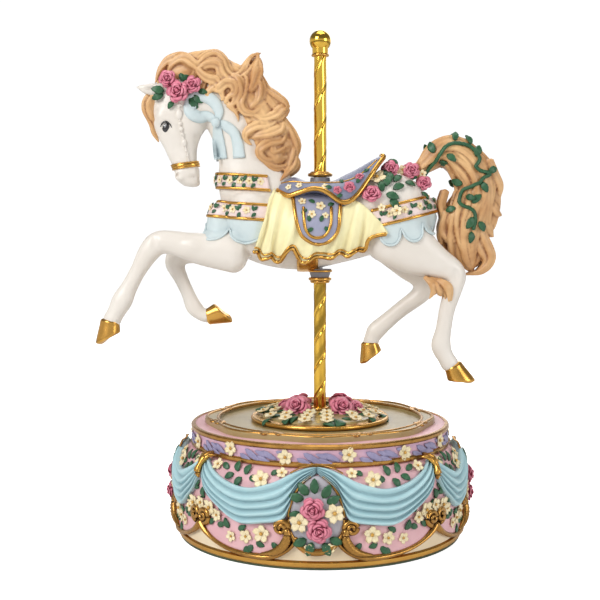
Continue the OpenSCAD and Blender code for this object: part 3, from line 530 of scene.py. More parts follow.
for side in (NEAR, FAR):
    dent(horse, (-90.5, side * 9.4, 58.2), (4.5, 4, 3.4), 0.8, (0, -side, 0))     # eye socket
    dent(horse, (-84.6, side * 6.6, 29.2), (1.8, 3, 2.2), 2.2, (0, -side, 0.2))   # nostril
    dent(horse, (-74.8, side * 5.5, 28.2), (4.5, 3, 1.0), 1.1, (0, -side, 0))     # mouth
    dent(horse, (-83, side * 8, 46), (6, 4, 9), 0.9, (0, -side, 0))               # cheek hollow
    dent(horse, (-99, side * 7.5, 79.8), (6.5, 3, 1.6), 1.5, (0, -side, 0))       # ear hollow
    dent(horse, (-70, side * 12, 50), (5, 8, 13), 1.5, (0, -side, 0))             # throat
    dent(horse, (-24, side * 20, -8), (9, 10, 18), 1.2, (0, -side, 0))            # behind the shoulder
    dent(horse, (27, side * 20, -8), (9, 10, 16), 1.4, (0, -side, 0))             # flank
for x, z, leg_side in ((-97, -10, NEAR), (-87, -22, FAR)):
    dent(horse, (x, leg_side * (LEG_Y + 6), z), (3, 4, 6), 0.9, (0, -leg_side, 0))  # knee
for x, z, leg_side in ((79, -31, NEAR), (63, -38, FAR)):
    dent(horse, (x, leg_side * (LEG_Y + 5.5), z), (3.5, 3, 7), 0.9, (0, -leg_side, 0))  # hock
done("horse", [horse], ivory, "carousel", "ivory_glaze",
     "horse_body", "near_foreleg", "far_foreleg", "near_hindleg", "far_hindleg")
print("horse faces", len(horse.data.polygons))


def skin_of(*objs):
    """What a ray from outside meets first: used to lay the trappings on the horse."""
    points, faces = [], []
    for o in objs:
        n = len(points)
        points += [tuple(c) for c in co_of(o)]
        faces += [tuple(n + v for v in f.vertices) for f in o.data.polygons]
    return BVHTree.FromPolygons(points, faces)


horse_skin = skin_of(horse)


def pebble(name, size, at):
    """A small egg whose middle is at a point."""
    egg = lump(name, (0, 0, -RIDE), size)
    set_co(egg, co_of(egg) + at)
    return egg


def land(x, z, side, out=0.0, skin=None, fallback=12.0):
    """The point of the skin under (x, z) on one side, lifted by out along the skin's normal."""
    hit, normal, _, _ = (skin or horse_skin).ray_cast(Vector((x, side * 90, z)), Vector((0, -side, 0)))
    if hit is None:
        return np.array([x, side * fallback, z]), np.array([0.0, side, 0.0])
    n = np.array(normal)
    if n[1] * side < 0:
        n = -n
    return np.array(hit) + out * n, n


# %% [markdown]
# Hooves are gilded wedges: a ring at the coronet, a flare down to the toe and
# a flat sole. Each is a stack of rings along the line of its leg.

# %% Hooves
HOOVES = {"near_fore": ((-123.9, -57.4), (-125.6, -69.8), 5.8, 7.0, NEAR),
          "far_fore": ((-68, -55.6), (-56.5, -52.6), 5.2, 7.2, FAR),
          "near_hind": ((78.6, -84.5), (84.8, -95), 5.6, 7.4, NEAR), "far_hind": ((31.2, -72.6), (32.2, -83.2), 5.4,
                                                                                  7.2, FAR)}


def hoof(name, top, sole, r_top, r_sole, side):
    a, b = np.array(top, float), np.array(sole, float)
    way = (b - a) / np.linalg.norm(b - a)
    across = np.array([-way[1], way[0]])
    long = np.linalg.norm(b - a)
    rings = []
    for t, r in ((-0.16, 0.55), (-0.10, 0.92), (0.0, 1.02), (0.06, 0.97), (0.5, 1.0), (0.9, 1.0), (0.97, 0.97),
                 (1.0, 0.86), (1.0, 0.3)):
        size = (r_top + (r_sole - r_top) * min(max(t, 0), 1)) * r
        turn = np.linspace(0, 2 * np.pi, 28, endpoint=False)
        ring = []
        for k in turn:
            fore = math.cos(k) * TOE[name]      # 1 at the toe, -1 at the heel
            reach = long * (t if t < 0 else t * (0.80 + 0.34 * fore))
            p = a + way * reach + across * size * math.cos(k) * (1.0 + 0.10 * fore)
            ring.append((p[0], side * LEG_Y + 0.9 * size * math.sin(k), RIDE + p[1]))
        rings.append(ring)
    return make(name, *stitch(rings))


TOE = {"near_fore": -1, "far_fore": -1, "near_hind": 1, "far_hind": -1}
hoof_parts = [hoof(name, *values) for name, values in HOOVES.items()]
hooves = join("gilded_hooves", hoof_parts)
apply(hooves, "SUBSURF", levels=1, render_levels=1)
done("gilded_hooves", [hooves], bright_gilt, "carousel", "gilt", "hooves")

# %% [markdown]
# The eyes are painted: a dark almond with a white spark and a line of lash.
# Here each is a thin glossy lens laid in its socket, with the lid as a fine
# dark roll over it.


# %% Eyes
def enamel(name, colour, roughness):
    material = bpy.data.materials.new(name)
    material.use_nodes = True
    tree = material.node_tree
    shader = tree.nodes["Principled BSDF"]
    cloudy = tree.nodes.new("ShaderNodeTexNoise")
    cloudy.inputs["Scale"].default_value = 300
    place = tree.nodes.new("ShaderNodeTexCoord")
    tree.links.new(place.outputs["Object"], cloudy.inputs["Vector"])
    tint = tree.nodes.new("ShaderNodeMix")
    tint.data_type = "RGBA"
    tint.inputs[6].default_value = colour
    tint.inputs[7].default_value = tuple(min(1, c * 1.5 + 0.01) for c in colour[:3]) + (1,)
    tree.links.new(cloudy.outputs["Fac"], tint.inputs[0])
    tree.links.new(tint.outputs[2], shader.inputs["Base Color"])
    shader.inputs["Roughness"].default_value = roughness
    shader.inputs["Coat Weight"].default_value = 0.8
    return material


eye_black = enamel("eye_enamel", rgb(16, 12, 14), 0.3)
eye_white = enamel("eye_spark", rgb(240, 240, 240), 0.3)
lids, sparks = [], []
for side in (NEAR, FAR):
    rows = []
    for v in np.linspace(0.02, 1, 7):
        row = []
        for a in np.linspace(0, 2 * np.pi, 25)[:-1]:
            x = -90.9 + v * (2.3 * math.cos(a) + 0.5 * math.sin(a))
            z = 241.0 + v * 3.0 * math.sin(a) * (1 - 0.25 * math.cos(a) ** 2)
            point, normal = land(x, z, side)
            row.append(point + normal * (0.25 + 0.9 * (1 - v * v)) if v < 0.97 else point - normal * 0.3)
        rows.append(row)
    lids.append(make("eyeball", *stitch(rows)))
    lash = [land(x, z, side, 0.35)[0] for x, z in ((-94.0, 241.6), (-92.8, 243.6), (-90.8, 244.5), (-88.6, 243.2),
                                                   (-87.2, 240.8))]
    lids.append(tube("lash", lash, [0.2, 0.45, 0.55, 0.45, 0.15], sides=6))
    spark_place, spark_normal = land(-91.6, 242.3, side)
    sparks.append(pebble("spark", (0.42, 0.42, 0.42), spark_place + spark_normal * 0.95))
done("eyes", lids, eye_black, "carousel", "dark_collar")
done("eye_sparks", sparks, eye_white, "carousel", "dark_collar")

# %% [markdown]
# Mane and tail are carved waves. Each is a soft core with dozens of grooved
# strands rolled over it. The strands are tapering tubes whose section has
# three or five lobes that twist slowly, so each lock reads as several hairs.
# Pressed together by a fine remesh, the grooves stay and the joins go.

# %% Mane
MANE = [[-90, 86, 6, 6], [-80, 90, 7.5, 8], [-65, 91, 9, 9], [-52, 81, 10, 10.5],
        [-41, 72, 11, 11], [-34, 58, 11, 12], [-30, 46, 11, 12], [-27, 38, 8, 10.5]]
CREST = [[-50, 80, 6, 6], [-43, 90, 4.5, 4.5], [-38.5, 98, 1.6, 1.6]]
LOCKS = {
    "cap": [(-74, 279), (-77.6, 281), (-82.8, 282.3), (-89.6, 280.1), (-94.5, 274.5), (-96.9, 266.7)],
    "cap2": [(-70, 276), (-74.3, 278.4), (-80.2, 281), (-86, 278.4), (-90.6, 271.9)],
    "arch": [(-75, 271.9), (-71.7, 278.4), (-67.1, 283.6), (-61.9, 285.9), (-57.7, 282.7), (-55.8, 277.8),
             (-52.2, 273.9), (-47.6, 274.5), (-43.7, 279.7), (-40.5, 284.3), (-36.2, 285.7)],
    "arch_in": [(-72.3, 273.9), (-68.4, 279.1), (-63.2, 281), (-59.3, 279.7), (-57.4, 275.2), (-53.5, 271.3),
                (-48.3, 271.3), (-43.1, 274.5), (-39.2, 279.1), (-36.6, 283.6)],
    "upright": [(-41, 262), (-38.2, 270.6), (-36.9, 275.8), (-37.2, 280.4), (-36.2, 284.9)],
    "c1": [(-72, 277), (-68.4, 273.9), (-64.5, 272.6), (-60.6, 271.9), (-58.7, 267.4), (-57.4, 262.2), (-58, 256.3)],
    "c2": [(-64, 272), (-60, 267.4), (-55.4, 270.3), (-50.5, 268.7), (-49.9, 263.8), (-53.5, 258.9), (-56.4, 254.7)],
    "w1": [(-52, 274), (-48.9, 270), (-47.3, 262.8), (-50.5, 255), (-55.1, 252.7)],
    "w2": [(-47, 275), (-44, 270), (-44.7, 262.8), (-46.3, 255), (-43.7, 250.1), (-38.2, 249.5), (-34, 253.7),
           (-32, 258.9)],
    "w3": [(-41, 274), (-38.2, 270), (-35.9, 264.1), (-36.6, 257), (-40.5, 252.4)],
    "b1": [(-40, 275), (-36.6, 270), (-33.3, 262.8), (-27.4, 258.9), (-21.3, 255), (-20.6, 251.1), (-22.9, 246.5)],
    "b2": [(-34, 262), (-30.7, 257), (-26.8, 251.7), (-22.9, 251.7), (-22.2, 254.4)],
    "b3": [(-20, 253), (-22.9, 251.1), (-26.8, 247.8), (-33.3, 245.9), (-38.5, 247.8)],
    "l1": [(-24.2, 247.8), (-30, 243), (-37.9, 241), (-43.1, 237.8), (-43.7, 233.9), (-40.5, 230.3)],
    "l2": [(-22.9, 245.2), (-23.9, 239.7), (-30, 236.8), (-36.6, 235.8), (-41.1, 234.5)],
    "l3": [(-22.2, 246.5), (-18, 238.1), (-15.1, 230.9), (-14.4, 226.4), (-16.4, 219.9)],
    "l4": [(-20.9, 240), (-22.9, 233.5), (-29.4, 231.6), (-34.6, 228.3), (-34.9, 224.4), (-30, 221.8), (-22.9, 223.1),
           (-16.4, 225.7)],
    "l5": [(-19, 234.8), (-22.9, 229), (-27.4, 227.3), (-28.1, 229.6), (-25.5, 230.9)],
    "l6": [(-33.3, 221.2), (-27.4, 217.6), (-20.9, 218.6), (-15.1, 223.8)],
    "l7": [(-14.4, 226.4), (-15.7, 219.9), (-19.6, 214.7), (-23.9, 209.4)],
    "upright2": [(-40.5, 266), (-38.4, 274), (-37.6, 280), (-37.0, 284)],
    "l8": [(-17.5, 234), (-16.8, 227), (-18.6, 220.5), (-21.4, 214.5)],
    "t1": [(-55, 257), (-52.8, 253.1), (-49.6, 249.8), (-48.1, 243.9)],
    "r1": [(-67.1, 271.3), (-69.1, 266.1), (-70.7, 262.8)],
    "r2": [(-60, 271), (-63.2, 267.4), (-66.5, 262.8), (-62.6, 257.3)],
}
FAT = {"arch": 3.4, "arch_in": 3.2, "cap": 3.6, "cap2": 3.6, "b1": 3.8, "b2": 2.8, "l3": 3.6, "l4": 3.3, "l7": 2.8,
       "w2": 3.0,
       "upright": 3.6, "t1": 1.9, "r1": 2.0, "r2": 2.2, "l5": 2.2, "l6": 2.6}
HAIR_VOXEL = 0.62
random.seed(7)
bed = join("mane_bed", [loft("mane_core", MANE, sides=20), loft("crest_core", CREST, sides=12)])
mane_skin = skin_of(bed, horse)
roll = [bed]


def lock(name, path, fat, side, jitter=0.0):
    """One strand along [x, z] points on the near or far side of the core."""
    points = []
    for x, z in path:
        if z > 262:
            z -= 3.4 * math.exp(-((x + 58) / 17) ** 2)
        x, z = x + random.uniform(-jitter, jitter), z + random.uniform(-jitter, jitter)
        points.append(land(x, z, side, 0.5, mane_skin, 3.0)[0])
    points = settle(np.array(points), 3)
    t = np.linspace(0, 1, len(points))
    r = fat * np.minimum(1, 0.55 + 2.2 * t) * np.minimum(1, 0.16 + 1.7 * (1 - t))
    return tube(name, points, r, sides=24, steps=6, flat=0.9, ridges=5, depth=0.17, twist=random.uniform(0.6, 1.8))


for key, path in LOCKS.items():
    roll.append(lock(key, path, FAT.get(key, 3.5), NEAR))
    roll.append(lock(key + "_far", path, FAT.get(key, 3.5), FAR, jitter=1.3))
# The crest between the two sides, seen from behind
s = flow(MANE, 3)
for k in range(1, len(s) - 3, 2):
    for drift in (-1, 0, 1):
        path = []
        for j, u in enumerate(np.linspace(0, 1, 5)):
            i = min(k + j, len(s) - 1)
            d = s[min(i + 1, len(s) - 1), :2] - s[i - 1, :2]
            d /= np.linalg.norm(d)
            out = s[i, 2] * (0.92 + 0.12 * math.sin(2.4 * i))
            path.append((s[i, 0] - d[1] * out, drift * s[i, 3] * 0.42 + random.uniform(-1, 1),
                         RIDE + s[i, 1] + d[0] * out))
        roll.append(tube("crest", path, [1.8, 2.8, 3.0, 2.4, 0.8], sides=14, steps=5, ridges=3, depth=0.2, twist=2.5))
mane = join("mane_locks", roll)
melt(mane, HAIR_VOXEL, 1, 0.25)
done("mane_locks", [mane], hair, "carousel", "hair_glaze", "mane")
print("mane faces", len(mane.data.polygons))

# %% Tail
TAIL = [[58, 31, 4, 3.5], [63, 36, 5.5, 4.5], [70, 42, 7, 6], [77, 43, 8.5, 7], [84.6, 38.5, 8.8, 7.5],
        [91.4, 29, 9.6, 8], [93.4, 19, 10.4, 8], [90.6, 9.5, 12.2, 8], [87.5, -1, 12.5, 7.5], [88, -11, 11.5, 6.5],
        [89, -20, 8, 5], [90, -26, 3, 3]]
tail_bed = loft("tail_core", TAIL, sides=20)
hank = [tail_bed]
s = flow(TAIL, 4)
length = len(s) - 1


def tail_place(u, v, y_share):
    """A place on the tail: u along it, v across it in the side view, y_share of its half width."""
    f = min(max(u, 0), 1) * length
    i = min(int(f), length - 1)
    a = s[i] + (s[i + 1] - s[i]) * (f - i)
    d = s[i + 1, :2] - s[i, :2]
    d /= np.linalg.norm(d)
    return np.array([a[0] - d[1] * a[2] * v, a[3] * y_share, RIDE + a[1] + d[0] * a[2] * v])


for k in range(46):
    side = NEAR if k % 2 else FAR
    v0 = -0.98 + 1.96 * (k // 2) / 22
    start = random.uniform(0.0, 0.35) if k % 4 < 2 else random.uniform(0.3, 0.6)
    end = min(1.0, start + random.uniform(0.42, 0.62))
    phase = random.uniform(0, 6.28)
    path = []
    for u in np.linspace(start, end, 9):
        v = v0 + 0.16 * math.sin(11 * u + phase)
        y = side * math.sqrt(max(0.05, 1.05 - min(1, abs(v)) ** 2))
        flare = 1 + 0.10 * max(0, (u - start) / (end - start) - 0.7) * 6 * (1 if abs(v0) > 0.6 else 0)
        path.append(tail_place(u, v * flare, y))
    hank.append(tube("strand", path, 2.7 * np.array([0.5, 0.8, 1, 1.05, 1, 0.95, 0.8, 0.55, 0.2]), sides=16, steps=4,
                     ridges=3, depth=0.2, twist=random.uniform(1.5, 4)))
ENDS = [[(74.8, 191.6), (72.4, 181.2), (75.5, 176), (77.9, 171.5)], [(78.5, 190.4), (77.3, 184.2), (83.4, 175), (80.3,
                                                                                                                 166)],
        [(82.2, 190.4), (82.8, 182.4), (87, 175), (82.8, 164)], [(86.4, 187.3), (85.8, 181.2), (93.8, 172), (95.6,
                                                                                                             166),
                                                                                                             (90.7,
                                                                                                              158)],
        [(92, 186), (98.7, 173.8), (102.0, 164), (96.9, 156.7), (87, 154.2)],
        [(97, 200), (102, 195), (105, 191), (108.2, 189.5)],
        [(96, 190), (100, 182), (103.2, 176.5)], [(100, 222), (103, 214), (106.5, 207), (107, 200)],
        [(92, 180), (95, 170), (99, 162), (92, 154)], [(74, 204), (72, 196), (73.6, 188), (71.8, 178), (72.4, 172)]]
for path in ENDS:
    for side in (NEAR, FAR):
        points = [(x, side * (5.5 - 3.5 * j / (len(path) - 1)) + random.uniform(-0.6, 0.6), z) for j,
                  (x, z) in enumerate(path)]
        r = 2.8 * np.interp(np.linspace(0, 1, len(path)), [0, 0.4, 0.8, 1], [0.8, 1, 0.7, 0.25])
        hank.append(tube("end", points, r, sides=16, steps=6, ridges=3, depth=0.2, twist=2.5))
tail = join("tail_locks", hank)
melt(tail, HAIR_VOXEL, 1, 0.25)

# %% The tuft of hair behind the hock, and the forelock on the brow
tuft = []
for k in range(9):
    y = -LEG_Y + random.uniform(-5.5, 3)
    f = k / 8
    path = [(61 + 9 * f, y, 153.2 - 1.5 * f), (65 + 9 * f, y - 1.5, 149.5 - 1.0 * f), (66 + 10 * f, y - 1.2, 145.2),
            (64 + 13 * f, y, 140.5 + 2 * math.sin(5 * f))]
    tuft.append(tube("tuft", path, [1.2, 2.3, 1.9, 0.4], sides=12, steps=5, ridges=3, depth=0.18, twist=2))
for path, y in (([(-93, 263), (-99.5, 261.5), (-103, 257.5), (-103.6, 252.4), (-101.4, 247.4), (-99.6, 243),
                  (-98.6, 238), (-96, 233)], -1.5),
                ([(-92, 262), (-98, 259.5), (-100.6, 255), (-100.4, 250.4), (-98.6, 246.8), (-95.4, 245.6)], -4.5),
                ([(-93, 263), (-97.5, 260), (-99, 255), (-98.6, 250), (-97.6, 245), (-96.8, 240)], -2.5),
                ([(-93, 263), (-99, 261), (-102, 256.6), (-102.6, 251.6), (-100.6, 246.4), (-99, 240.4),
                  (-97.4, 235)], 2.0)):
    n = len(path)
    tuft.append(tube("forelock", [(x, y * (1 - 0.4 * j / n), z) for j, (x, z) in enumerate(path)],
                     np.interp(np.linspace(0, 1, n), [0, 0.4, 0.8, 1], [1.8, 2.8, 2.2, 0.5]),
                     sides=12, steps=5, ridges=3, depth=0.18, twist=2))
small_hair = join("tuft_and_forelock", tuft)
melt(small_hair, 0.5, 1, 0.3)
done("tail_locks", [tail], hair, "carousel", "hair_glaze", "tail")
done("tuft_and_forelock", [small_hair], hair, "carousel", "hair_glaze")
print("tail faces", len(tail.data.polygons))

# %% [markdown]
# Roses, leaves and blossoms repeat all over the piece. One of each is
# modelled, and copies are set down facing along the surface they sit on,
# each with its own size and turn, as the maker presses cast flowers on.


# %% Flower patterns
def as_pattern(obj):
    """Takes the mesh of a modelled object as arrays, and removes the object."""
    points = co_of(obj)
    faces = [tuple(f.vertices) for f in obj.data.polygons]
    bpy.data.objects.remove(obj)
    return points, faces


def petal_cup(radius, height, wide, turn, curl):
    """A curved petal as a thin slab; it stands on the flower's middle and rolls out at the lip."""
    front = np.zeros((5, 6, 3))
    for i, v in enumerate(np.linspace(0, 1, 5)):
        for j, u in enumerate(np.linspace(-1, 1, 6)):
            a = math.radians(turn + wide * u * (0.55 + 0.45 * math.sin(math.pi * min(v + 0.15, 1))))
            r = radius * (0.35 + 0.65 * v ** 0.8) + curl * v ** 4 * (1 - 0.5 * u * u)
            z = height * math.sin(v * 1.9) * (1 - 0.16 * u * u) / math.sin(1.57) - curl * 0.4 * v ** 6
            front[i, j] = (r * math.cos(a), r * math.sin(a), z)
    back = front * np.array([0.9, 0.9, 1]) - np.array([0, 0, 0.07])
    return slab("petal", front, back)


def rose_pattern():
    """Unit radius, facing +Z: a tight bud, then rings of opening petals."""
    parts = []
    for ring, (count, radius, height, wide, curl) in enumerate(
            ((2, 0.20, 0.78, 95, 0.02), (3, 0.36, 0.74, 72, 0.05), (3, 0.54, 0.64, 66, 0.10),
             (4, 0.74, 0.48, 55, 0.16), (5, 0.90, 0.28, 44, 0.16))):
        for k in range(count):
            parts.append(petal_cup(radius, height, wide, 360 * k / count + 47 * ring, curl))
    parts.append(tube("heart", [(0, 0, 0), (0, 0, 0.3), (0, 0, 0.66)], [0.42, 0.3, 0.12], sides=8, steps=2))
    parts.append(tube("base", [(0, 0, -0.25), (0, 0, 0.0), (0, 0, 0.16)], [0.6, 0.86, 0.62], sides=12, steps=2))
    return as_pattern(join("rose", parts))


def leaf_pattern():
    """Unit length along +X, facing +Z, with a sunk midrib and a drooping tip."""
    front = np.zeros((9, 5, 3))
    for i, t in enumerate(np.linspace(0, 1, 9)):
        half = 0.27 * math.sin(math.pi * t ** 0.85) ** 0.8 + 0.03 * (i % 2) * (0 < i < 8) + 0.012
        for j, u in enumerate(np.linspace(-1, 1, 5)):
            front[i, j] = (t, half * u, 0.10 + 0.16 * math.sin(math.pi * t) - 0.10 * (1 - abs(u)) - 0.10 * u * u)
    back = front - np.array([0, 0, 0.09])
    return as_pattern(slab("leaf", front, back))


def blossom_pattern():
    """Unit radius, facing +Z: five notched petals round a raised centre."""
    parts = []
    for k in range(5):
        front = np.zeros((5, 5, 3))
        for i, t in enumerate(np.linspace(0.12, 1, 5)):
            for j, u in enumerate(np.linspace(-1, 1, 5)):
                half = 0.40 * math.sin(math.pi * (0.12 + 0.74 * t)) * u
                r = t * (1 - 0.10 * (abs(u) < 0.1) * (t > 0.9))
                a = math.radians(72 * k)
                z = 0.10 + 0.22 * t * t - 0.12 * (1 - u * u) * t
                front[i, j] = (r * math.cos(a) - half * math.sin(a), r * math.sin(a) + half * math.cos(a), z)
        parts.append(slab("petal", front, front - np.array([0, 0, 0.14])))
    return as_pattern(join("blossom", parts))


def bud_pattern():
    return as_pattern(tube("bud", [(0, 0, -0.1), (0, 0, 0.4), (0, 0, 0.8)], [1.0, 0.95, 0.35], sides=8, steps=2))


ROSE, LEAF, BLOSSOM, HEART = rose_pattern(), leaf_pattern(), blossom_pattern(), bud_pattern()


def set_down(pattern, at, normal, size, turn):
    """The pattern's points moved to a place: its +Z to the normal, turned about it by turn degrees."""
    n = np.array(normal, float)
    n /= np.linalg.norm(n)
    ref = np.array((0.0, 0.0, 1.0)) if abs(n[2]) < 0.9 else np.array((1.0, 0.0, 0.0))
    right = np.cross(ref, n)
    right /= np.linalg.norm(right)
    up = np.cross(n, right)
    a = math.radians(turn)
    x_axis = math.cos(a) * right + math.sin(a) * up
    y_axis = np.cross(n, x_axis)
    p = pattern[0] * size
    return np.array(at) + np.outer(p[:, 0], x_axis) + np.outer(p[:, 1], y_axis) + np.outer(p[:, 2], n)


def gather(name, pattern, places, material, body):
    """One piece from many copies; each place is (point, normal, size, turn)."""
    points, faces = [], []
    for place in places:
        base = len(points)
        points += list(set_down(pattern, *place))
        faces += [tuple(base + v for v in f) for f in pattern[1]]
    mesh = bpy.data.meshes.new(name)
    mesh.from_pydata([tuple(c * MM for c in p) for p in points], [], faces)
    mesh.update()
    mesh.polygons.foreach_set("use_smooth", [True] * len(mesh.polygons))
    obj = bpy.data.objects.new(name, mesh)
    bpy.context.scene.collection.objects.link(obj)
    mesh.materials.append(material)
    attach(obj, body)
    return obj


bouquet = {"rose": [], "leaf": [], "blossom": [], "heart": []}


def blossom_at(at, normal, size, turn, where=None):
    where = where or bouquet
    where["blossom"].append((at, normal, size, turn))
    where["heart"].append((np.array(at) + np.array(normal) * size * 0.18, normal, size * 0.2, turn))


def lay_leaves(places, side, out, skin, size=None, fallback=12.0):
    """Leaves on a skin; each place is (x, z, turn), with its own size unless one is given for all."""
    for x, z, turn, *own in places:
        p, normal = land(x, z, side, out, skin, fallback)
        bouquet["leaf"].append((p, normal, size or own[0], turn if side == NEAR else 180 - turn))


def lay_roses(places, side, out, skin, spin, tip=0.0, fallback=12.0):
    """Roses on a skin, tipped up; each place is (x, z, size) and gets its own turn."""
    for x, z, size in places:
        p, normal = land(x, z, side, out, skin, fallback)
        bouquet["rose"].append((p, normal + np.array([0, 0, tip]), size, spin * x))


def lay_blossoms(places, side, out, skin, spin, fallback=12.0):
    for x, z, size in places:
        p, normal = land(x, z, side, out, skin, fallback)
        blossom_at(p, normal, size, spin * x)


print("rose", len(ROSE[1]), "leaf", len(LEAF[1]), "blossom", len(BLOSSOM[1]))

# %% [markdown]
# The trappings are modelled on the horse, as cloth and leather would lie. A
# ray is sent from inside the body through the skin, and the strap, drape or
# flap is built a millimetre or two outside that point, so it hugs the form.


# %% Straps, drapes and bands round the body
def ring_point(centre, forward, across, phi, shift, out, skin=None, reach=90.0):
    """Where a band lies: phi degrees round the body from its front line, shifted across the band."""
    f, n = np.array(forward, float), np.array(across, float)
    way = math.cos(math.radians(phi)) * f + math.sin(math.radians(phi)) * np.array((0, 1.0, 0))
    start = np.array(centre, float) + n * shift
    hit, normal, _, _ = (skin or horse_skin).ray_cast(Vector(start), Vector(way))
    if hit is None:
        return start + way * 8, way
    # A cloth that meets a leg ends inside it
    if (hit - Vector(start)).length > reach:
        return start + way * reach, way
    normal = np.array(normal)
    if normal @ way < 0:
        normal = -normal
    soft = normal + way
    soft /= np.linalg.norm(soft)
    return np.array(hit) + out * soft, soft


def smooth_grid(grid, rounds=2):
    for _ in range(rounds):
        g = grid.copy()
        g[:, 1:-1] = 0.5 * grid[:, 1:-1] + 0.25 * (grid[:, :-2] + grid[:, 2:])
        grid = g
    return grid


def facing(centre, slope):
    """The way forward and the way across of a band, from the front or the back of the horse."""
    sign = -1 if centre[0] < 0 else 1
    f = np.array((sign * math.cos(math.radians(slope)), 0, math.sin(math.radians(slope))))
    return f, np.array((-f[2] if f[0] > 0 else f[2], 0, abs(f[0])))


def band(name, centre, slope, phis, width, out, edge=0.95, puff=0.5):
    """A strap with a gilt cord on each edge; returns the strap and its cords."""
    f, n = facing(centre, slope)

    def at(phi, v):
        return [ring_point(centre, f, n, phi, v * width / 2, lift)[0] for lift in (out + puff * (1 - v * v), -0.8)]

    front, back = (smooth_grid(g) for g in two_faces(np.linspace(-1, 1, 7), phis, at))
    strap = slab(name, front, back)
    cords = [tube(name + "_cord", front[i][::2], edge, sides=8, steps=3) for i in (0, -1)]
    return strap, cords, f, n


gilt_cords, pink_straps, blue_drapes = [], [], []
UPPER, LOWER, RUMP = (-43, 0, 208.8), (-45, 0, 191.8), (42, 0, 190.2)
for label, centre, slope, phis, width in (("upper_breast", UPPER, 4, np.arange(-134, 135, 4), 8.0),
                                          ("lower_breast", LOWER, 4, np.arange(-129, 130, 4), 8.4),
                                          ("rump", RUMP, 14, np.arange(-120, 121, 4), 9.6)):
    strap, cords, f, n = band(label, centre, slope, phis, width, 1.3)
    pink_straps.append(strap)
    gilt_cords += cords
    for k, phi in enumerate(np.arange(-120, 121, 12)):
        if abs(phi) > phis[-1] - 8:
            continue
        p, normal = ring_point(centre, f, n, phi, 0.6 * (-1) ** k, 1.9)
        if k % 2 == 0:
            blossom_at(p, normal, 2.3, 20 * k)
        else:
            for drift, turn in ((-2.0, 205), (2.0, 25), (0.6, 95)):
                q, lean = ring_point(centre, f, n, phi + drift, 0.4 * drift, 1.9)
                bouquet["leaf"].append((q, lean, 3.5, turn + 12 * k % 40))


def scallop(phi, bounds, depths):
    """How far a cloth hangs below its strap: a round lobe between each two bounds."""
    i = int(np.clip(np.searchsorted(bounds, phi) - 1, 0, len(depths) - 1))
    t = np.clip((phi - bounds[i]) / (bounds[i + 1] - bounds[i]), 0, 1)
    return 2.5 + depths[i] * math.sqrt(max(0, 1 - (2 * t - 1) ** 2)) ** 0.8


DRAPE_REACH = 26.0     # how far from the strap's centre a drape may stand


def lobed_drape(name, centre, slope, phis, top, lengths, folds):
    """A thin cloth hanging from a strap, gathered into lobes, with its lower edge corded."""
    f, n = facing(centre, slope)

    def at(phi, v):
        drop = top + v * scallop(phi, *lengths)
        fold = 0.35 * math.sin(math.radians(folds * phi)) * (0.3 + 0.7 * v)
        return (ring_point(centre, f, n, phi, -drop, 0.9 + fold, None, DRAPE_REACH)[0],
                ring_point(centre, f, n, phi, -drop, -0.9, None, DRAPE_REACH - 1.5)[0])

    front, back = (smooth_grid(g, 1) for g in two_faces(np.linspace(0, 1, 10), phis, at))
    return [slab(name, front, back), tube(name + "_edge", front[-1], 0.75, sides=8, steps=1)]


blue_drapes += lobed_drape("chest_drape", LOWER, 4, np.arange(-126, 127, 2), 3.5,
                           ([-126, -63, -20, 20, 63, 126], [12.5, 12, 11, 12, 12.5]), 9)
blue_drapes += lobed_drape("rump_drape", RUMP, 14, np.arange(-120, 121, 2), 4.0,
                           ([-120, -84, -48, -14, 14, 48, 84, 120], [11, 12, 11, 9, 11, 12, 11]), 9)

noseband, cords, _, _ = band("noseband", (-81.2, 0, 218.9), -8, np.arange(-180, 181, 8), 2.6, 0.7, edge=0.5, puff=0.4)


def girth_at(phi, v):
    return [ring_point((-7.6, 0, 182), (0, 0, -1), (1, 0, 0), phi, v * 6.2, lift)[0]
            for lift in (1.2 + 0.4 * (1 - v * v), -0.8)]


girth = slab("girth", *two_faces(np.linspace(-1, 1, 7), np.arange(-60, 61, 5), girth_at))

# %% [markdown]
# The saddle sits over everything: a dished seat with a rolled gilt edge, a
# U-shaped flap on each side, and a pleated yellow skirt with a gilt hem.


# %% Saddle seat
SEAT = [[-27.1, 206.5, -26.6, 205.4, 8], [-22.5, 210.2, -24, 203.2, 14], [-15.2, 212.5, -18.5, 200.8, 19],
        [-7.7, 210.4, -11, 203.2, 21.5],
        [0, 210.0, -3.2, 204.8, 22.5], [7.2, 210.8, 4, 202.6, 23.5], [14.7, 214, 11, 197.2, 24],
        [22.2, 217.4, 18.5, 198.6, 22.5],
        [29.6, 221.6, 26, 208, 18.5], [33.6, 223.8, 32, 217, 14], [36.8, 225, 37.2, 223.6, 8]]
stations = flow(SEAT, 3)
front = []
for xt, zt, xr, zr, w in stations:
    row = []
    for a in np.linspace(-math.pi / 2, math.pi / 2, 25):
        c = max(math.cos(a), 0) ** 0.72
        dish = 1.1 * math.exp(-((xt - 2) / 14) ** 2) * math.cos(a) ** 4
        row.append((xr + (xt - xr) * c, w * math.sin(a), zr + (zt - zr) * c - dish))
    front.append(row)
front = np.array(front)
back = front * np.array([1, 0.9, 1]) - np.array([0, 0, 2.2])
seat = slab("saddle_seat", front, back)
seat_skin = skin_of(seat)
rim = np.vstack([front[:, 0], front[-1, 1:-1], front[::-1, -1], front[0, -2:0:-1], front[:2, 0]])
gilt_edges = [tube("seat_edge", rim[::2], 1.5, sides=10, steps=2)]
seam = np.array([[row[5], row[19]] for row in front[3:-3]])
gilt_edges += [tube("seat_line", seam[:, k] + np.array([0, 0, 0.15]), 0.45, sides=6, steps=2) for k in (0, 1)]
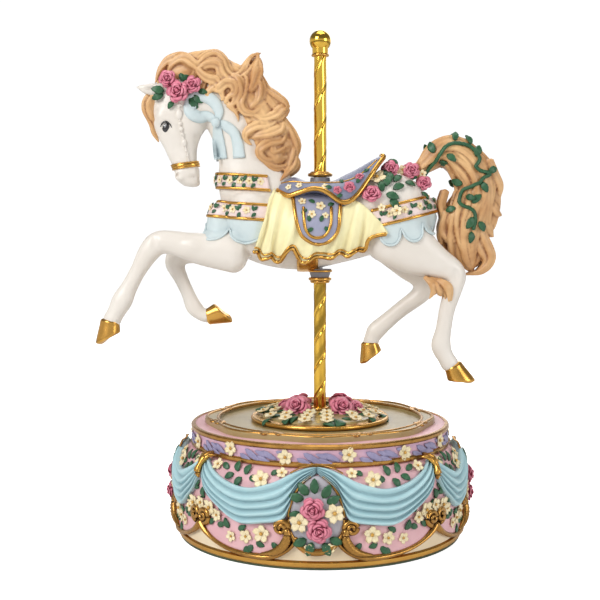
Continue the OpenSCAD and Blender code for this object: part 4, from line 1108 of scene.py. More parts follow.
for side in (NEAR, FAR):
    lay_roses(((16.5, 205.5, 3.4), (22.6, 211.5, 2.6), (9.5, 203.8, 2.4)), side, 0.2, seat_skin, 40)
    lay_leaves(((12.5, 201.2, 200), (19.8, 202.2, -30), (20.8, 207.9, 60), (12.8, 208, 120), (6.4, 205.2, 170),
                (25.2, 214.2, 50)), side, 0.2, seat_skin, 4.0)
    lay_blossoms(((-12.5, 206.5, 2.0), (2.4, 205.8, 2.0), (-18.5, 205.6, 2.0)), side, 0.2, seat_skin, 13)

# %% Skirt, flaps and their gilt hems
TOP = [(-27.5, 204.5), (-26, 202), (-22, 201), (-15, 201), (-8, 201), (0, 200.5), (8, 199.5), (16, 198.8),
       (22, 196.5), (26, 194), (30.5, 190), (35, 185.5)]
HEM = [(-38.3, 170.7), (-35.3, 167.7), (-30, 166.2), (-23.4, 165.5), (-16.5, 170.4), (-11.4, 165.4), (-3.2, 166.4),
       (7.2, 168.2), (14.7, 169), (22.2, 170.4),
       (29.6, 175.2), (39.3, 179.7)]
skirts, flaps = [], []
for side in (NEAR, FAR):
    top, hem = flow(TOP, 9), flow(HEM, 9)

    def skirt_at(i, v):
        u = i / (len(top) - 1)
        x, z = top[i] + (hem[i] - top[i]) * v
        wave = 40 * u + 1.2 * math.sin(9 * u) + 0.7 * v
        fold = math.sin(wave * 1.05) + 0.35 * math.sin(wave * 2.3 + 1)
        z -= v ** 3 * 0.9 * math.cos(wave * 1.05)
        p, n_ = land(x, z, side, 0, None, 15)
        lift = 2.9 + 0.9 * v + (0.25 + 1.25 * v ** 0.8) * fold * 0.75
        return p + n_ * lift, p - n_ * 0.8

    front, back = (settle(g, 2) for g in two_faces(np.linspace(0, 1, 18), range(len(top)), skirt_at))
    skirts.append(slab("skirt", front, back))
    gilt_edges.append(tube("hem", front[-1][::2], 1.15, sides=8, steps=2, flat=0.8))
    gilt_edges.append(tube("hem_inner", (front[-2] + np.array([0, side * 0.5, 0]))[::2], 0.6, sides=6, steps=2))
LEFT = [(-16.9, 204.6), (-15.6, 196), (-14.6, 189.4), (-13.4, 183.5), (-11.4, 178.2), (-8.6, 175.6), (-5.4, 173.6),
        (-2.6, 172.8)]
RIGHT = [(11.6, 203.6), (11.2, 194), (10.8, 188.6), (10.6, 184), (9.5, 179.7), (7.6, 176.8), (4.2, 174.0),
         (-0.6, 172.7)]
for side in (NEAR, FAR):
    left, right = flow(LEFT, 3), flow(RIGHT, 3)

    def flap_at(u, i):
        x, z = left[i] + (right[i] - left[i]) * u
        p, n_ = land(x, z, side, 0, None, 18)
        return p + np.array([0, side, 0]) * (4.9 + 0.9 * math.sin(math.pi * u)), p

    front, back = (settle(g, 3) for g in two_faces(range(len(left)), np.linspace(0, 1, 17), flap_at))
    flap = slab("flap", front, back)
    flaps.append(flap)
    edge_path = np.vstack([front[:, 0], front[-1, 4:13:4], front[::-1, -1]])
    gilt_edges.append(tube("flap_edge", edge_path[::2], 1.1, sides=8, steps=2))
    flap_skin = skin_of(flap)
    inner_u = [land(x, z, side, 0.25, flap_skin)[0] for x, z in flow([(-10, 194), (-9.6, 186), (-8.6, 181),
                                                                      (-5.6, 177.4), (-1.6, 176.4), (2.6, 178.0),
                                                                      (5.2, 182.6), (6, 188), (6, 194)], 2)]
    gilt_edges.append(tube("inner_u", inner_u, 0.9, sides=8, steps=2))
    lay_blossoms(((-10.7, 197.3, 2.4), (-0.2, 194.6, 2.9), (-5.2, 190, 2.5), (2.6, 189.2, 2.0)), side, 0.1, flap_skin,
                 31)
    lay_leaves(((-6.5, 185.6, 100), (-0.2, 185.6, 70), (-4.2, 181.8, 200), (2.4, 183, -60), (-3.4, 196.6, 150),
                (4, 195, 20), (-8, 193, 220)), side, 0.1, flap_skin, 4.2)
print("straps", len(pink_straps), "gilt edges", len(gilt_edges))

# %% Rump roses, head roses and the ribbon
deco_skin = skin_of(horse, *skirts, *pink_straps)
for side in (NEAR, FAR):
    lay_roses(((29.6, 201, 5.6), (41.6, 217, 4.8), (54, 216, 4.8), (61.5, 208.5, 4.3)), side, 1.2, deco_skin, 20,
              0.15, 6)
    lay_leaves(((37, 206, 60, 8.5), (38, 201.5, -20, 8), (40, 208.5, 80, 8), (42, 204.5, 20, 7.5),
                (39.5, 211.5, 110, 7), (40.6, 199, -60, 8), (36, 203, 100, 7), (42.6, 209, 35, 7),
                             (59.5, 203, -60, 7), (49.5, 208.5, -30, 6.5), (57.5, 211.5, 150, 6),
                             (25.5, 206.5, 130, 6), (61.7, 193.8, 10, 6), (46, 219.5, 150, 6)), side, 0.9, deco_skin,
                             fallback=5)
    lay_blossoms(((33.0, 210.4, 5.4), (43.8, 191.6, 3.4), (48.6, 216.5, 2.8), (60.5, 214, 2.6), (35.2, 193.4, 2.4)),
                 side, 1.6, deco_skin, 17, 5)
    head_skin = skin_of(horse, mane)
    for x, z, size, y in ((-89.4, 269.0, 5.2, 9), (-83.2, 261.4, 6.6, 11), (-74.6, 265.4, 5.2, 11)):
        bouquet["rose"].append(((x, side * y, z), (-0.15, side, 0.12), size, 33 * x))
    lay_leaves(((-82, 268, 65, 10.5), (-80, 267, 90, 9), (-91.5, 262, 170, 8), (-92, 260.5, 205, 7.5),
                (-77, 258.5, -60, 8.5), (-75.5, 259.5, -30, 8),
                             (-71.5, 262, -10, 6), (-86, 256, 235, 5.5)), side, 1.2, head_skin, fallback=7)


def ribbon(name, path, width, side, lift):
    """A strip of ribbon that stands off the neck, wide across its own path."""
    p = flow(path, 6)
    front, back = [], []
    for i, (x, z, w) in enumerate(p):
        d = p[min(i + 1, len(p) - 1), :2] - p[max(i - 1, 0), :2]
        d /= max(np.linalg.norm(d), 1e-9)
        row = []
        for v in (-1, -0.5, 0, 0.5, 1):
            px, pz = x - d[1] * v * w * width, z + d[0] * v * w * width
            q, n_ = land(px, pz, side, 0, None, 9)
            row.append(q + np.array([0, side, 0]) * (lift + 0.5 * (1 - v * v) + 0.4 * math.sin(1.3 * i + 2.5 * v)))
        front.append(row)
    front = settle(np.array(front), 3)
    return slab(name, front, front - np.array([0, side * 0.9, 0]))


bows = []
for side in (NEAR, FAR):
    bows.append(ribbon("loop", [(-61, 244, 0.5), (-66, 247.5, 0.8), (-71.5, 247, 1), (-76.4, 250.4, 1),
                                (-75.2, 257, 1), (-70, 259.6, 1), (-63.5, 256.8, 1), (-59.6, 250.5, 0.8),
                                (-60.5, 245, 0.5)], 3.6, side, 1.0))
    bows.append(ribbon("tail_one", [(-60.7, 244, 0.6), (-60.6, 237, 1), (-59.6, 230, 1.15), (-58.7, 222.5, 1.2)], 3.2,
                       side, 0.8))
    bows.append(ribbon("tail_two", [(-60, 244, 0.6), (-55, 241.5, 1), (-50.5, 237.5, 1), (-48.5, 231, 1.1),
                                    (-47.7, 223, 1.2)], 3.0, side, 0.7))
    bows.append(pebble("knot", (2.6, 1.7, 2.9), land(-60.7, 244, side, 2.2)[0]))
beads = []
for side in (NEAR, FAR):
    line = [land(x, z, side, 0.4, None, 8)[0] for x, z in ((-83, 259), (-82.8, 254.4), (-82.8, 248.5), (-82, 241.4),
                                                           (-80.8, 236), (-80.2, 232.3), (-78.6, 226),
                                                           (-77.8, 220.5))]
    beads.append(tube("bead_cord", line, 0.55, sides=6, steps=4))
    for x, z, w, h in ((-82.8, 248.5, 2.0, 3.2), (-82.9, 253.8, 1.4, 1.4), (-82, 243.2, 1.3, 1.3),
                       (-81.9, 240.2, 1.5, 1.5), (-81.0, 237, 1.1, 1.1), (-80.2, 232.3, 1.5, 2.5),
                       (-79.0, 227.5, 1.0, 1.0), (-78.4, 224.6, 0.9, 0.9)):
        beads.append(pebble("bead", (w, 1.2, h), land(x, z, side, 0.4, None, 8)[0]))

# %% [markdown]
# A green vine is wound through the tail, over the top and down the back.

# %% Vine
VINE = [(62, 214), (66.2, 219.7), (69.9, 224), (72.4, 228.3), (77.3, 231), (82.8, 231), (87.7, 229.5), (91.3, 226),
        (93.2, 222.2), (91.3, 218.5), (93.8, 215.5), (99.3, 213.6),
        (96.2, 211.8), (93.2, 208.7), (88.3, 206.3), (84.6, 204.4), (82.5, 199.5), (82.5, 196), (88.3, 193.4),
        (90.7, 189.8), (90.4, 181.2)]
tail_skin = skin_of(tail, horse)
vines = []
for side in (NEAR, FAR):
    path = np.array([land(x, z, side, 0.9, tail_skin, 4)[0] for x, z in flow(VINE, 2)])
    settle(path, 2)
    vines.append(tube("vine", path, 1.15, sides=8, steps=3, ridges=3, depth=0.15, twist=30))
    lay_leaves(((67.2, 226, 120, 8), (70.5, 222, -30, 7), (74.2, 225, -40, 7), (91, 224, 60, 8), (89, 231, 100, 7),
                (98.7, 215, 20, 7), (95, 209, -60, 7), (84, 207.8, 160, 7.5),
                             (86, 200.5, -10, 6.5), (89, 196.8, 40, 7.5), (80, 194, 200, 6.5), (90, 188.5, -120, 8),
                             (93.5, 186, -60, 7), (89, 180, -95, 7), (79, 233, 80, 6.5)), side, 0.8, tail_skin,
                             fallback=4)


# %% Finish the trappings
done("saddle_seat", [seat], slate, "carousel", "saddle_glaze", "saddle")
done("saddle_flaps", flaps, flap_grey, "carousel", "saddle_glaze")
done("saddle_skirts", skirts, yellow, "carousel", "skirt_glaze", "saddle_skirt")
done("breast_and_rump_straps", pink_straps, strap_pink, "carousel", "strap_glaze", "harness_straps")
done("blue_drapes", blue_drapes, pale_blue, "carousel", "blue_glaze")
done("gilt_trim", gilt_edges + gilt_cords + cords + [noseband, girth], bright_gilt, "carousel", "gilt")
done("bow", bows, pale_blue, "carousel", "blue_glaze")
done("bridle_beads", beads, ivory, "carousel", "ivory_glaze")
done("tail_vine", vines, leaf, "carousel", "leaf_glaze")

# %% [markdown]
# The pole is a brass tube with two grooves pressed round it like a barber's
# pole. The mesh itself carries them: each ring of points is dented
# where a spiral passes, so the highlights break as they do on real brass.

# %% Pole, collars and finial
POLE_R = (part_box("upper_pole")[1].x) / MM


def twisted(name, low, high, pitch):
    rings = []
    turn = np.linspace(0, 2 * np.pi, 72, endpoint=False)
    zs = np.arange(low, high + 0.01, 0.7)
    zs[-1] = high
    for z in zs:
        # the rows of points turn with the groove, so its edge runs true
        off = (turn + np.pi / 2) % np.pi - np.pi / 2
        r = POLE_R + 0.08 * np.cos(2 * off) - 0.5 * np.exp(-(off / 0.17) ** 2)
        a = turn + 2 * np.pi * z / pitch
        rings.append(np.column_stack([r * np.sin(a), -r * np.cos(a), np.full(72, z)]))
    return make(name, *stitch(rings))


lower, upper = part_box("lower_pole"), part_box("upper_pole")
done("twisted_pole_low", [twisted("low", lower[0].z / MM, lower[1].z / MM, 34)], brass, "carousel", "brass",
     "lower_pole")
done("twisted_pole_high", [twisted("high", upper[0].z / MM, upper[1].z / MM, 40)], brass, "carousel", "brass",
     "upper_pole")


def hoop(name, radius, z, thick):
    bpy.ops.object.select_all(action="DESELECT")
    bpy.ops.mesh.primitive_torus_add(major_segments=64, minor_segments=12, major_radius=radius * MM,
                                     minor_radius=thick * MM)
    ring = bpy.context.active_object
    ring.name = name
    set_co(ring, co_of(ring) + np.array([0, 0, z]))
    return ring


top_z, belly_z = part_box("saddle_collar")[1].z / MM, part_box("belly_collar")[0].z / MM
hoops = [hoop("flange", 6.3, top_z + 1.6, 1.1), hoop("flange", 5.0, top_z + 2.6, 1.0),
         hoop("ring", 5.9, belly_z + 1.0, 1.05),
         hoop("ring", 5.0, belly_z - 0.6, 0.9), hoop("ring", 6.9, belly_z + 5.8, 0.6)]
top_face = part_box("turntable_disc")[1].z / MM
hoops += [hoop("foot", 4.8, top_face + 4.2, 1.0), hoop("foot", 4.6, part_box("upper_pole")[1].z / MM - 3, 0.7)]
done("pole_rings", hoops, bright_gilt, "carousel", "gilt")

# %% [markdown]
# The plinth is a painted drum with moulded drapery. Every ornament is placed
# by its angle from the front and its height, and bent to the drum's own
# profile. The pattern repeats four times, so a quarter is designed and turned.

# %% The drum's profile
DRUM_R, NECK_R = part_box("cream_skirt")[1].x / MM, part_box("deck_plate")[1].x / MM
BAND_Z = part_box("frieze_mouldings")[0].z / MM
SHOULDER_H = 15.0
SHOULDER_Z, FLARE = BAND_Z - SHOULDER_H, DRUM_R - NECK_R
# The front and back bays are wider than the side ones, and all of it is turned a little
BAY_STRETCH, PATTERN_TURN, MEDAL_HALF = 4.6, -2.2, 11.0


def on_drum(theta, z, out=0.0):
    """The point and normal of the drum, theta degrees round from the front, before the pattern is stretched."""
    place = (theta + 45) % 90 - 45
    far_out = min(max((abs(place) - MEDAL_HALF) / (45 - MEDAL_HALF), 0), 1)
    odd = -1 if round((theta - place) / 90) % 2 else 1
    a = math.radians(theta + odd * math.copysign(BAY_STRETCH * far_out ** 2 * (3 - 2 * far_out),
                                                 place) + PATTERN_TURN)
    if z <= SHOULDER_Z:
        r, nr, nz = DRUM_R, 1.0, 0.0
    else:
        t = min((z - SHOULDER_Z) / SHOULDER_H, 0.985)
        r = NECK_R + FLARE * math.sqrt(1 - t * t)
        nr, nz = (r - NECK_R) / FLARE ** 2, t / SHOULDER_H
        size = math.hypot(nr, nz)
        nr, nz = nr / size, nz / size
        nr = max(nr, 0.35)
    n = np.array((nr * math.sin(a), -nr * math.cos(a), nz))
    n /= np.linalg.norm(n)
    return np.array((r * math.sin(a), -r * math.cos(a), z)) + out * n, n


def drum_tube(name, path, radius, **shape):
    """A roll along [theta, z, out] points."""
    return tube(name, [on_drum(*p)[0] for p in path], radius, level=(0, 0, 1), **shape)


# %% Swags
MEDAL_Z, MEDAL_W, MEDAL_H = 30.3, 14.3, 19.4
PLEATS = 4.4
UPPER_EDGE = flow([(45.3, 52.2), (42, 50.2), (36, 46), (29, 43), (23, 42.6), (15, 46), (9, 49.9), (4.6, 51.8),
                   (0, 52.6)], 7)
LOWER_EDGE = flow([(45.3, 48.6), (41, 37), (34, 28.8), (27, 23), (19.5, 24.2), (12.2, 27.0), (9.6, 34), (7.5, 43),
                   (0, 51.2)], 7)
swags, ties = [], []
for quarter in range(4):
    for mirror in (-1, 1):
        def swag_at(i, v):
            u = i / (len(UPPER_EDGE) - 1)
            theta, z = UPPER_EDGE[i] + (LOWER_EDGE[i] - UPPER_EDGE[i]) * v ** 0.9
            theta = 90 * quarter + mirror * theta
            open_up = math.sin(math.pi * u) ** 0.5
            ripple = 2 * math.pi * (PLEATS * v - 0.1) + 0.6 * math.sin(5 * u + quarter + mirror)
            pleat = (0.5 + 0.5 * math.cos(ripple)) ** 0.8
            out = 1.3 + (0.5 + 2.4 * pleat) * (0.4 + 0.6 * open_up) + 1.0 * math.sin(math.pi * v) * open_up
            return on_drum(theta, z, out)[0], on_drum(theta, z, -0.6)[0]

        swags.append(slab("swag", *two_faces(np.linspace(0, 1, 33), range(len(UPPER_EDGE)), swag_at)))
    theta = 90 * quarter + 45
    ties.append(drum_tube("tie", [(theta, 54.4, 2.2), (theta + 0.2, 51.2, 4.4), (theta, 48.4, 4.8),
                                  (theta - 0.3, 45.4, 4.4), (theta, 42.8, 3.2)],
                          [0.9, 2.2, 1.5, 2.1, 0.6], sides=12, steps=4, ridges=5, depth=0.14, twist=2))
    for drift in (-1, 1):
        ties.append(drum_tube("knot", [(theta + 0.4 * drift, 49.6, 4.6), (theta + 1.6 * drift, 51.6, 4.6),
                                       (theta + 3.2 * drift, 52.6, 3.4)], [1.1, 1.2, 0.6], sides=8, steps=3, ridges=3,
                                       depth=0.12))
done("swags", swags, blue, "base", "blue_glaze", "drape_swags")

# %% Medallions
ovals, oval_gilt = [], []
for quarter in range(4):
    rows = []
    for rho in (1.0, 1.0, 0.96, 0.86, 0.7, 0.5, 0.3, 0.12):
        row = []
        for a in np.linspace(0, 2 * np.pi, 49)[:-1]:
            s, c = math.sin(a), math.cos(a)
            wide = MEDAL_W * (1 - 0.12 * s)
            out = -0.5 if len(rows) == 0 else 1.6 + 1.7 * math.sqrt(max(0, 1 - rho * rho))
            row.append(on_drum(90 * quarter + math.degrees(rho * wide * c / DRUM_R), MEDAL_Z + rho * MEDAL_H * s,
                               out)[0])
        rows.append(row)
    ovals.append(make("oval", *stitch(rows)))

    def edge(a0, a1, grow, out):
        return [(90 * quarter + math.degrees((MEDAL_W * (1 - 0.12 * math.sin(a)) + grow) * math.cos(a) / DRUM_R),
                 MEDAL_Z + (MEDAL_H + grow) * math.sin(a), out)
                for a in np.radians(np.linspace(a0, a1, 15))]

    oval_gilt.append(drum_tube("crescent", edge(200, 340, 0.4, 2.4), 2.0 * np.sin(np.linspace(0.35, 2.79, 15)),
                               sides=12, steps=3, ridges=5, depth=0.1))
    oval_gilt.append(drum_tube("left_edge", edge(105, 205, 0.2, 2.2), 0.75, sides=8, steps=2))
    oval_gilt.append(drum_tube("right_edge", edge(-25, 75, 0.2, 2.2), 0.75, sides=8, steps=2))
    bow_arc = [(90 * quarter + t, 52.6 - 2.4 * (t / 9.0) ** 2, 4.2 + 0.3 * math.cos(t)) for t in np.linspace(-9.5,
                                                                                                             9.5, 13)]
    oval_gilt.append(drum_tube("ribbon_arc", bow_arc, 0.7, sides=8, steps=3, flat=0.6))
done("medallions_domed", ovals, grey_lilac, "base", "lilac_glaze", "medallions")

# %% Lobes and their gilt scrolls
lobes, scrolls = [], []
LOBE_TOP, LOBE_LOW = 19.5, 6.0
LOBE_MID, LOBE_HALF = 26.0, 19.4     # degrees round the drum


def lobe_edge(s):
    """Height of the lobe's lower edge, s from -1 at the cusp to 1 at the medallion."""
    k = (s - 0.28) / (0.72 if s > 0.28 else 1.28)
    return LOBE_TOP - (LOBE_TOP - LOBE_LOW) * max(0, 1 - abs(k) ** 2.2) ** 0.7


def volute(name, theta, z, size, hand, thick, start):
    path, radii = [], []
    for t in np.linspace(0, 1, 22):
        a = start + hand * t * 1.6 * 2 * math.pi
        r = size * (1 - 0.82 * t)
        path.append((theta + math.degrees(r * math.cos(a) / DRUM_R), z + r * math.sin(a), 2.0 + 1.6 * t))
        radii.append(thick * (1 - 0.45 * t))
    return drum_tube(name, path, radii, sides=10, steps=2, ridges=3, depth=0.1)


for quarter in range(4):
    for mirror in (-1, 1):
        def lobe_at(s, v):
            theta = 90 * quarter + mirror * (LOBE_MID - LOBE_HALF * s)
            z = lobe_edge(s) + (24.5 - lobe_edge(s)) * v
            return on_drum(theta, z, 1.5 * (1 - v) ** 0.5 + 0.06)[0], on_drum(theta, z, -0.5)[0]

        lobes.append(slab("lobe", *two_faces(np.linspace(0, 1, 10), np.linspace(-1, 1, 33), lobe_at)))
        line = [(90 * quarter + mirror * (LOBE_MID - LOBE_HALF * s_), lobe_edge(s_),
                 1.9) for s_ in np.linspace(-0.985, 0.985, 27)]
        t = np.linspace(-1, 1, 27)
        bead_r = 1.15 + 0.5 * np.exp(-((t - 0.3) / 0.3) ** 2) + 0.9 * np.exp(-((t + 0.95) / 0.22) ** 2)
        scrolls.append(drum_tube("scroll", line, bead_r, sides=12, steps=3, ridges=4, depth=0.14))
        # the fat horn that climbs beside the medallion and curls over at its head
        horn = [(19.6, 7.4, 1.8), (16.4, 8.6, 2.4), (13.4, 10.8, 2.9), (11.2, 14.2, 3.2), (10.2, 18.2, 3.2),
                (10.3, 22.4, 3.0)]
        horn = [(90 * quarter + mirror * a, z, out) for a, z, out in horn]
        scrolls.append(drum_tube("horn", horn, [0.8, 1.6, 2.3, 2.6, 2.4, 1.9], sides=14, steps=5, ridges=6,
                                 depth=0.14, twist=5))
        scrolls.append(volute("medal_volute", 90 * quarter + mirror * 12.4, 23.0, 3.9, -mirror, 1.7,
                              start=math.pi if mirror > 0 else 0.0))
        scrolls.append(volute("cusp_volute", 90 * quarter + mirror * 42.4, 22.6, 4.4, -mirror, 1.6,
                              start=-math.pi / 2))
done("pink_lobes", lobes, pink, "base", "pink_glaze")
done("gilt_scrolls", scrolls + oval_gilt, gilt, "base", "gilt", "scroll_lobes")
done("swag_ties", ties, bright_gilt, "base", "gilt", "swag_clips")

# %% Flowers on the drum, the frieze and the deck
drum_set = {"rose": [], "leaf": [], "blossom": [], "heart": [], "lavender": [], "gold_leaf": []}
LIFT = {"rose": 3.2, "blossom": 0.9, "leaf": 0.5}


def drum_flower(kind, theta, z, size, turn=0.0, out=None):
    p, n_ = on_drum(theta, z, LIFT[kind] if out is None else out)
    if kind == "blossom":
        blossom_at(p, n_, size, turn, drum_set)
    else:
        drum_set[kind].append((p, n_, size, turn))


ON_MEDALLION = {
    "rose": [(0.9, 22.8, 6.7, 20), (-1.2, 34.2, 6.5, 75)],
    "leaf": [(-4.4, 39.0, 8.4, 165), (-2.8, 41.0, 8.4, 130), (-0.6, 41.6, 8.2, 92), (2.2, 39.6, 8.4, 60),
             (3.6, 37.0, 8, 28), (-3.4, 17.6, 8, 205), (-1.4, 16.0, 8, 250), (2.4, 15.8, 8, -62),
             (4.6, 18.0, 7.6, -20), (-5.4, 31.2, 6.5, 185)],
    "blossom": [(-5.9, 26.6, 5.3, 10), (6.3, 31.8, 5.4, 40), (-2.6, 12.6, 2.8, 0), (4.8, 12.9, 2.8, 30)]}
BESIDE = {
    "blossom": [(20.2, 47.2, 4.9), (13.2, 50.6, 3.2), (38.6, 50.8, 3.6), (19.4, 18.6, 4.9), (24.8, 16.0, 3.8),
                (39.8, 27.6, 4.7), (36.2, 24.6, 3.6), (30.2, 14.6, 3.2)],
    "leaf": [(24.6, 47.0, 6.4, 175), (26.4, 48.6, 6.4, 110), (27.4, 47.2, 6.4, -60), (29.6, 49.4, 6.4, 80),
             (30.6, 48.2, 6.2, -30), (33.4, 50.0, 6.0, 30), (17.2, 49.8, 5.0, 150), (19.0, 24.4, 6.0, 100),
             (16.0, 14.2, 5.4, 220),
             (22.4, 11.6, 6.2, -50), (24.8, 10.8, 6.2, -100), (21.4, 13.6, 5.6, 200), (31.2, 18.6, 6.2, 60),
             (33.0, 20.8, 5.6, -20), (35.2, 27.4, 5.8, 120), (37.6, 21.8, 5.4, -40), (27.6, 18.8, 5.6, 150)]}
UNDER_TIES = [(-1.9, 40.5, 6.0, 215), (-2.4, 36.0, 6.2, 150), (0.4, 37.8, 6.4, -80), (2.0, 40.0, 6.0, -30),
              (2.6, 34.6, 6.0, 20), (-0.6, 32.2, 6.2, 250)]
for quarter in range(4):
    q = 90 * quarter
    for kind, places in ON_MEDALLION.items():
        for t, z, size, turn in places:
            drum_flower(kind, q + t, z, size, turn, {"rose": 3.8, "leaf": 3.0, "blossom": 3.4}[kind])
    for mirror in (-1, 1):
        for t, z, size in BESIDE["blossom"]:
            drum_flower("blossom", q + mirror * t, z, size, 23 * t, None if z > 28 else 1.5)
        for t, z, size, turn in BESIDE["leaf"]:
            drum_flower("leaf", q + mirror * t, z, size, turn if mirror > 0 else 180 - turn, None if z > 28 else 1.3)
    for t, z, size, turn in UNDER_TIES:
        drum_flower("leaf", q + 45 + t, z, size, turn, 0.6)
    drum_flower("blossom", q + 45, 29.0, 3.8, 40, 1.4)
FRIEZE_Z, FRIEZE_R = BAND_Z + 6.25, NECK_R + 1.2
FRIEZE_FLOWERS = 14
for k in range(FRIEZE_FLOWERS):
    a = math.radians(12.86 + 360 / FRIEZE_FLOWERS * k + PATTERN_TURN)
    n_ = np.array((math.sin(a), -math.cos(a), 0))
    blossom_at(n_ * (FRIEZE_R + 0.5) + np.array((0, 0, FRIEZE_Z + 0.8 * (-1) ** k)), n_, 4.3, 35 * k, drum_set)
    for shift, z, turn, size in ((4.6, -1.4, 24, 10.5), (7.4, 1.6, 30, 11.5), (11.6, -1.8, 14, 11.0),
                                 (15.0, 1.4, 22, 10.5), (18.6, -1.6, 200, 9.0), (21.6, 1.8, 12, 8.0)):
        b = a + math.radians(shift)
        m_ = np.array((math.sin(b), -math.cos(b), 0))
        drum_set["lavender"].append((m_ * (FRIEZE_R + 0.3) + np.array((0, 0, FRIEZE_Z + z)), m_, size, -turn))
UP = np.array((0, 0, 1.0))
border_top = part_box("deck_border")[1].z / MM
CURL_R, SPRIG_R, RIM_R, MOUND_R = 65.0, 62.6, 66.4, 37     # radii on the deck and of the mound
curls = []
for k in range(8):
    a = math.radians(45 * k + 20)
    for hand in (-1, 1):
        path, radii = [], []
        for t in np.linspace(0, 1, 16):
            c = hand * t * 1.4 * 2 * math.pi
            r = 2.6 * (1 - 0.8 * t)
            rr, aa = CURL_R + r * math.cos(c + 1.57), a + hand * 0.07 + r * math.sin(c + 1.57) / 64
            path.append((rr * math.sin(aa), -rr * math.cos(aa), border_top + 0.4 * t))
            radii.append(0.75 * (1 - 0.4 * t))
        curls.append(tube("curl", path, radii, sides=8, steps=2))
    for j, turn in enumerate((-60, -90, -120)):
        b = a + math.radians(2.2 * (j - 1))
        drum_set["gold_leaf"].append((np.array((SPRIG_R * math.sin(b), -SPRIG_R * math.cos(b), border_top - 0.2)), UP,
                                      5.6, math.degrees(b) + turn + 180))
rim_path = []
for t in np.linspace(0, 2 * math.pi, 97):
    r = RIM_R + 1.6 * math.cos(8 * t)
    rim_path.append((r * math.sin(t), -r * math.cos(t), border_top - 0.1))
curls.append(tube("outer_roll", rim_path, 1.0, sides=10, steps=2, level=(0, 0, 1)))
curls.append(hoop("inner_roll", 61.4, border_top - 0.3, 0.95))
done("deck_curls", curls, gilt, "base", "gilt")
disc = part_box("turntable_disc")
disc_r, disc_top = disc[1].x / MM, disc[1].z / MM
turn_set = {"rose": [], "leaf": [], "blossom": [], "heart": []}
random.seed(5)
for ring_r, count, size in ((34.5, 12, 9.0), (27, 11, 9.0), (19, 8, 8.6), (12, 6, 8.0)):
    for k in range(count):
        a = 2 * math.pi * (k + random.uniform(-0.25, 0.25)) / count
        r = ring_r + random.uniform(-1.4, 1.4)
        z = disc_top + 0.2 + 3.0 * math.sqrt(max(0, 1 - (r / MOUND_R) ** 2))
        lean = np.array((0.35 * math.sin(a) + random.uniform(-0.2, 0.2),
                         -0.35 * math.cos(a) + random.uniform(-0.2, 0.2), 1.0))
        turn_set["leaf"].append((np.array((r * math.sin(a), -r * math.cos(a), z)), lean,
                                 size * random.uniform(0.8, 1.1),
                                 math.degrees(a) - 90 + random.uniform(-70, 70) + 90))
for ring_r, count in ((34, 15), (27, 12), (19, 8)):
    for k in range(count):
        a = 2 * math.pi * (k + 0.4 + random.uniform(-0.2, 0.2)) / count
        p = np.array((ring_r * math.sin(a), -ring_r * math.cos(a),
                      disc_top + 1.6 + 3.2 * math.sqrt(max(0, 1 - (ring_r / MOUND_R) ** 2))))
        blossom_at(p, np.array((0.3 * math.sin(a), -0.3 * math.cos(a), 1.0)), 4.0, 50 * k, turn_set)
for x, y, size in ((-13.5, -8, 8.2), (12.5, -9, 7.6), (-12, 10, 7.6), (13, 10, 7.8), (21.5, -4, 4.6), (-21, 3, 4.4)):
    turn_set["rose"].append((np.array((x, y, disc_top + 5.2)), np.array((0.02 * x, math.copysign(0.9, y), 0.75)),
                             size, 25 * x))
done("disc_edge", [hoop("edge", disc_r - 0.6, disc_top - 1.0, 1.2)], bright_gilt, "carousel", "gilt")

# %% Set down all the flowers
STROKE = (LEAF[0] * np.array([1.0, 0.55, 0.3]), LEAF[1])
for prefix, roses, body, flowers, replaced in (
        ("horse", "horse_rose_sprays", "carousel", bouquet, ["horse_roses"]),
        ("mound", "mound_rose_spray", "carousel", turn_set, ["mound_roses"]),
        ("drum", "drum_roses", "base", drum_set, [])):
    spray = gather(roses, ROSE, flowers["rose"], rose, body)
    if replaced:
        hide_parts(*replaced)
    gather(prefix + "_leaves", LEAF, flowers["leaf"], leaf, body)
    gather(prefix + "_blossoms", BLOSSOM, flowers["blossom"], blossom, body)
    gather(prefix + "_blossom_hearts", HEART, flowers["heart"], ochre, body)
gather("frieze_strokes", STROKE, drum_set["lavender"], lavender, "base")
gather("deck_gilt_leaves", LEAF, drum_set["gold_leaf"], gilt, "base")

# %% [markdown]
# The CAD nodes that stay visible get the same paints, and the movement under
# the plinth gets metals, nylon and pressed board.

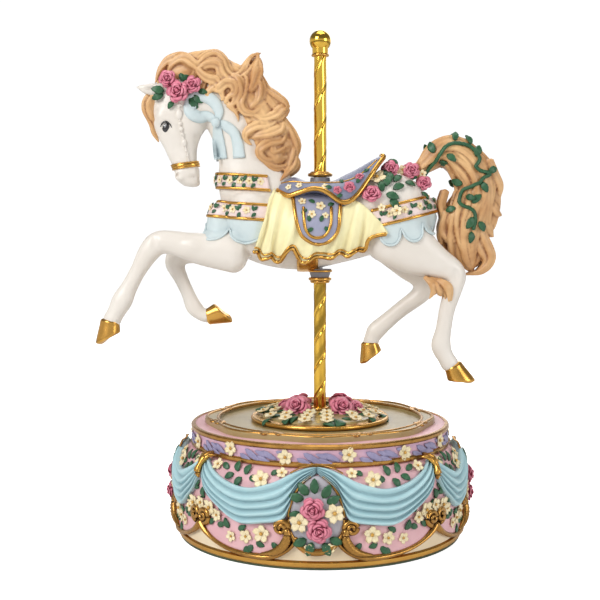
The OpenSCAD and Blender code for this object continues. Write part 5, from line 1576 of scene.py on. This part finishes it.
# %% Paints on the CAD nodes
felt_m = paint("green_felt", rgb(52, 70, 50), rgb(70, 88, 64), rgb(26, 36, 24), 0.3, 500, 0.9, bump=0.8)
steel_m = paint("turned_steel", rgb(190, 190, 194), rgb(168, 168, 174), rgb(80, 80, 84), 0.4, 700, 0.5, metal=1.0,
                bump=0.15)
blued_m = paint("blued_steel", rgb(120, 126, 138), rgb(96, 102, 118), rgb(50, 50, 60), 0.4, 500, 0.6, metal=1.0,
                bump=0.1)
zinc_m = paint("cast_zinc", rgb(150, 152, 156), rgb(128, 130, 136), rgb(80, 82, 86), 0.4, 400, 0.8, metal=0.8,
               bump=0.5)
nylon_m = paint("moulded_nylon", rgb(236, 232, 222), rgb(226, 220, 208), rgb(180, 176, 166), 0.3, 200, 0.5, bump=0.1)
board_m = paint("pressed_board", rgb(140, 104, 70), rgb(112, 82, 54), rgb(70, 50, 30), 0.3, 420, 1.0, bump=0.9)
FINISH = {
    "felt_ring": felt_m, "foot_ring": bright_gilt, "cream_skirt": cream, "plinth_shell": pink,
    "frieze_mouldings": gilt,
    "frieze_band": lilac, "deck_plate": pink, "deck_border": field_gilt, "deck_field": field_gilt,
    "thrust_washer": nylon_m,
    "bottom_board": board_m, "board_screws": steel_m, "shaft_bushes": brass, "bedplate": zinc_m,
    "movement_screws": steel_m,
    "spring_barrel": steel_m, "mainspring": blued_m, "cylinder_brackets": brass, "train_brackets": brass,
    "comb_base": zinc_m,
    "comb": blued_m, "winding_key": brass, "winding_arbor": steel_m, "great_wheel": brass, "music_cylinder": brass,
    "cylinder_pins": steel_m, "cylinder_arbor": steel_m, "cylinder_pinion": steel_m, "cylinder_wheel": brass,
    "second_arbor": steel_m, "worm_wheel": brass, "governor_worm": steel_m, "governor_fan": nylon_m,
    "turntable_disc": bright_gilt,
    "turntable_shaft": steel_m, "turntable_gear": brass, "flower_mound": field_gilt, "core_rod": steel_m,
    "belly_collar": grey,
    "saddle_collar": grey, "finial": brass}
for label, finish in FINISH.items():
    mesh = nodes[label].data
    mesh.materials.clear()
    mesh.materials.append(finish)
print("finished nodes", len(FINISH))
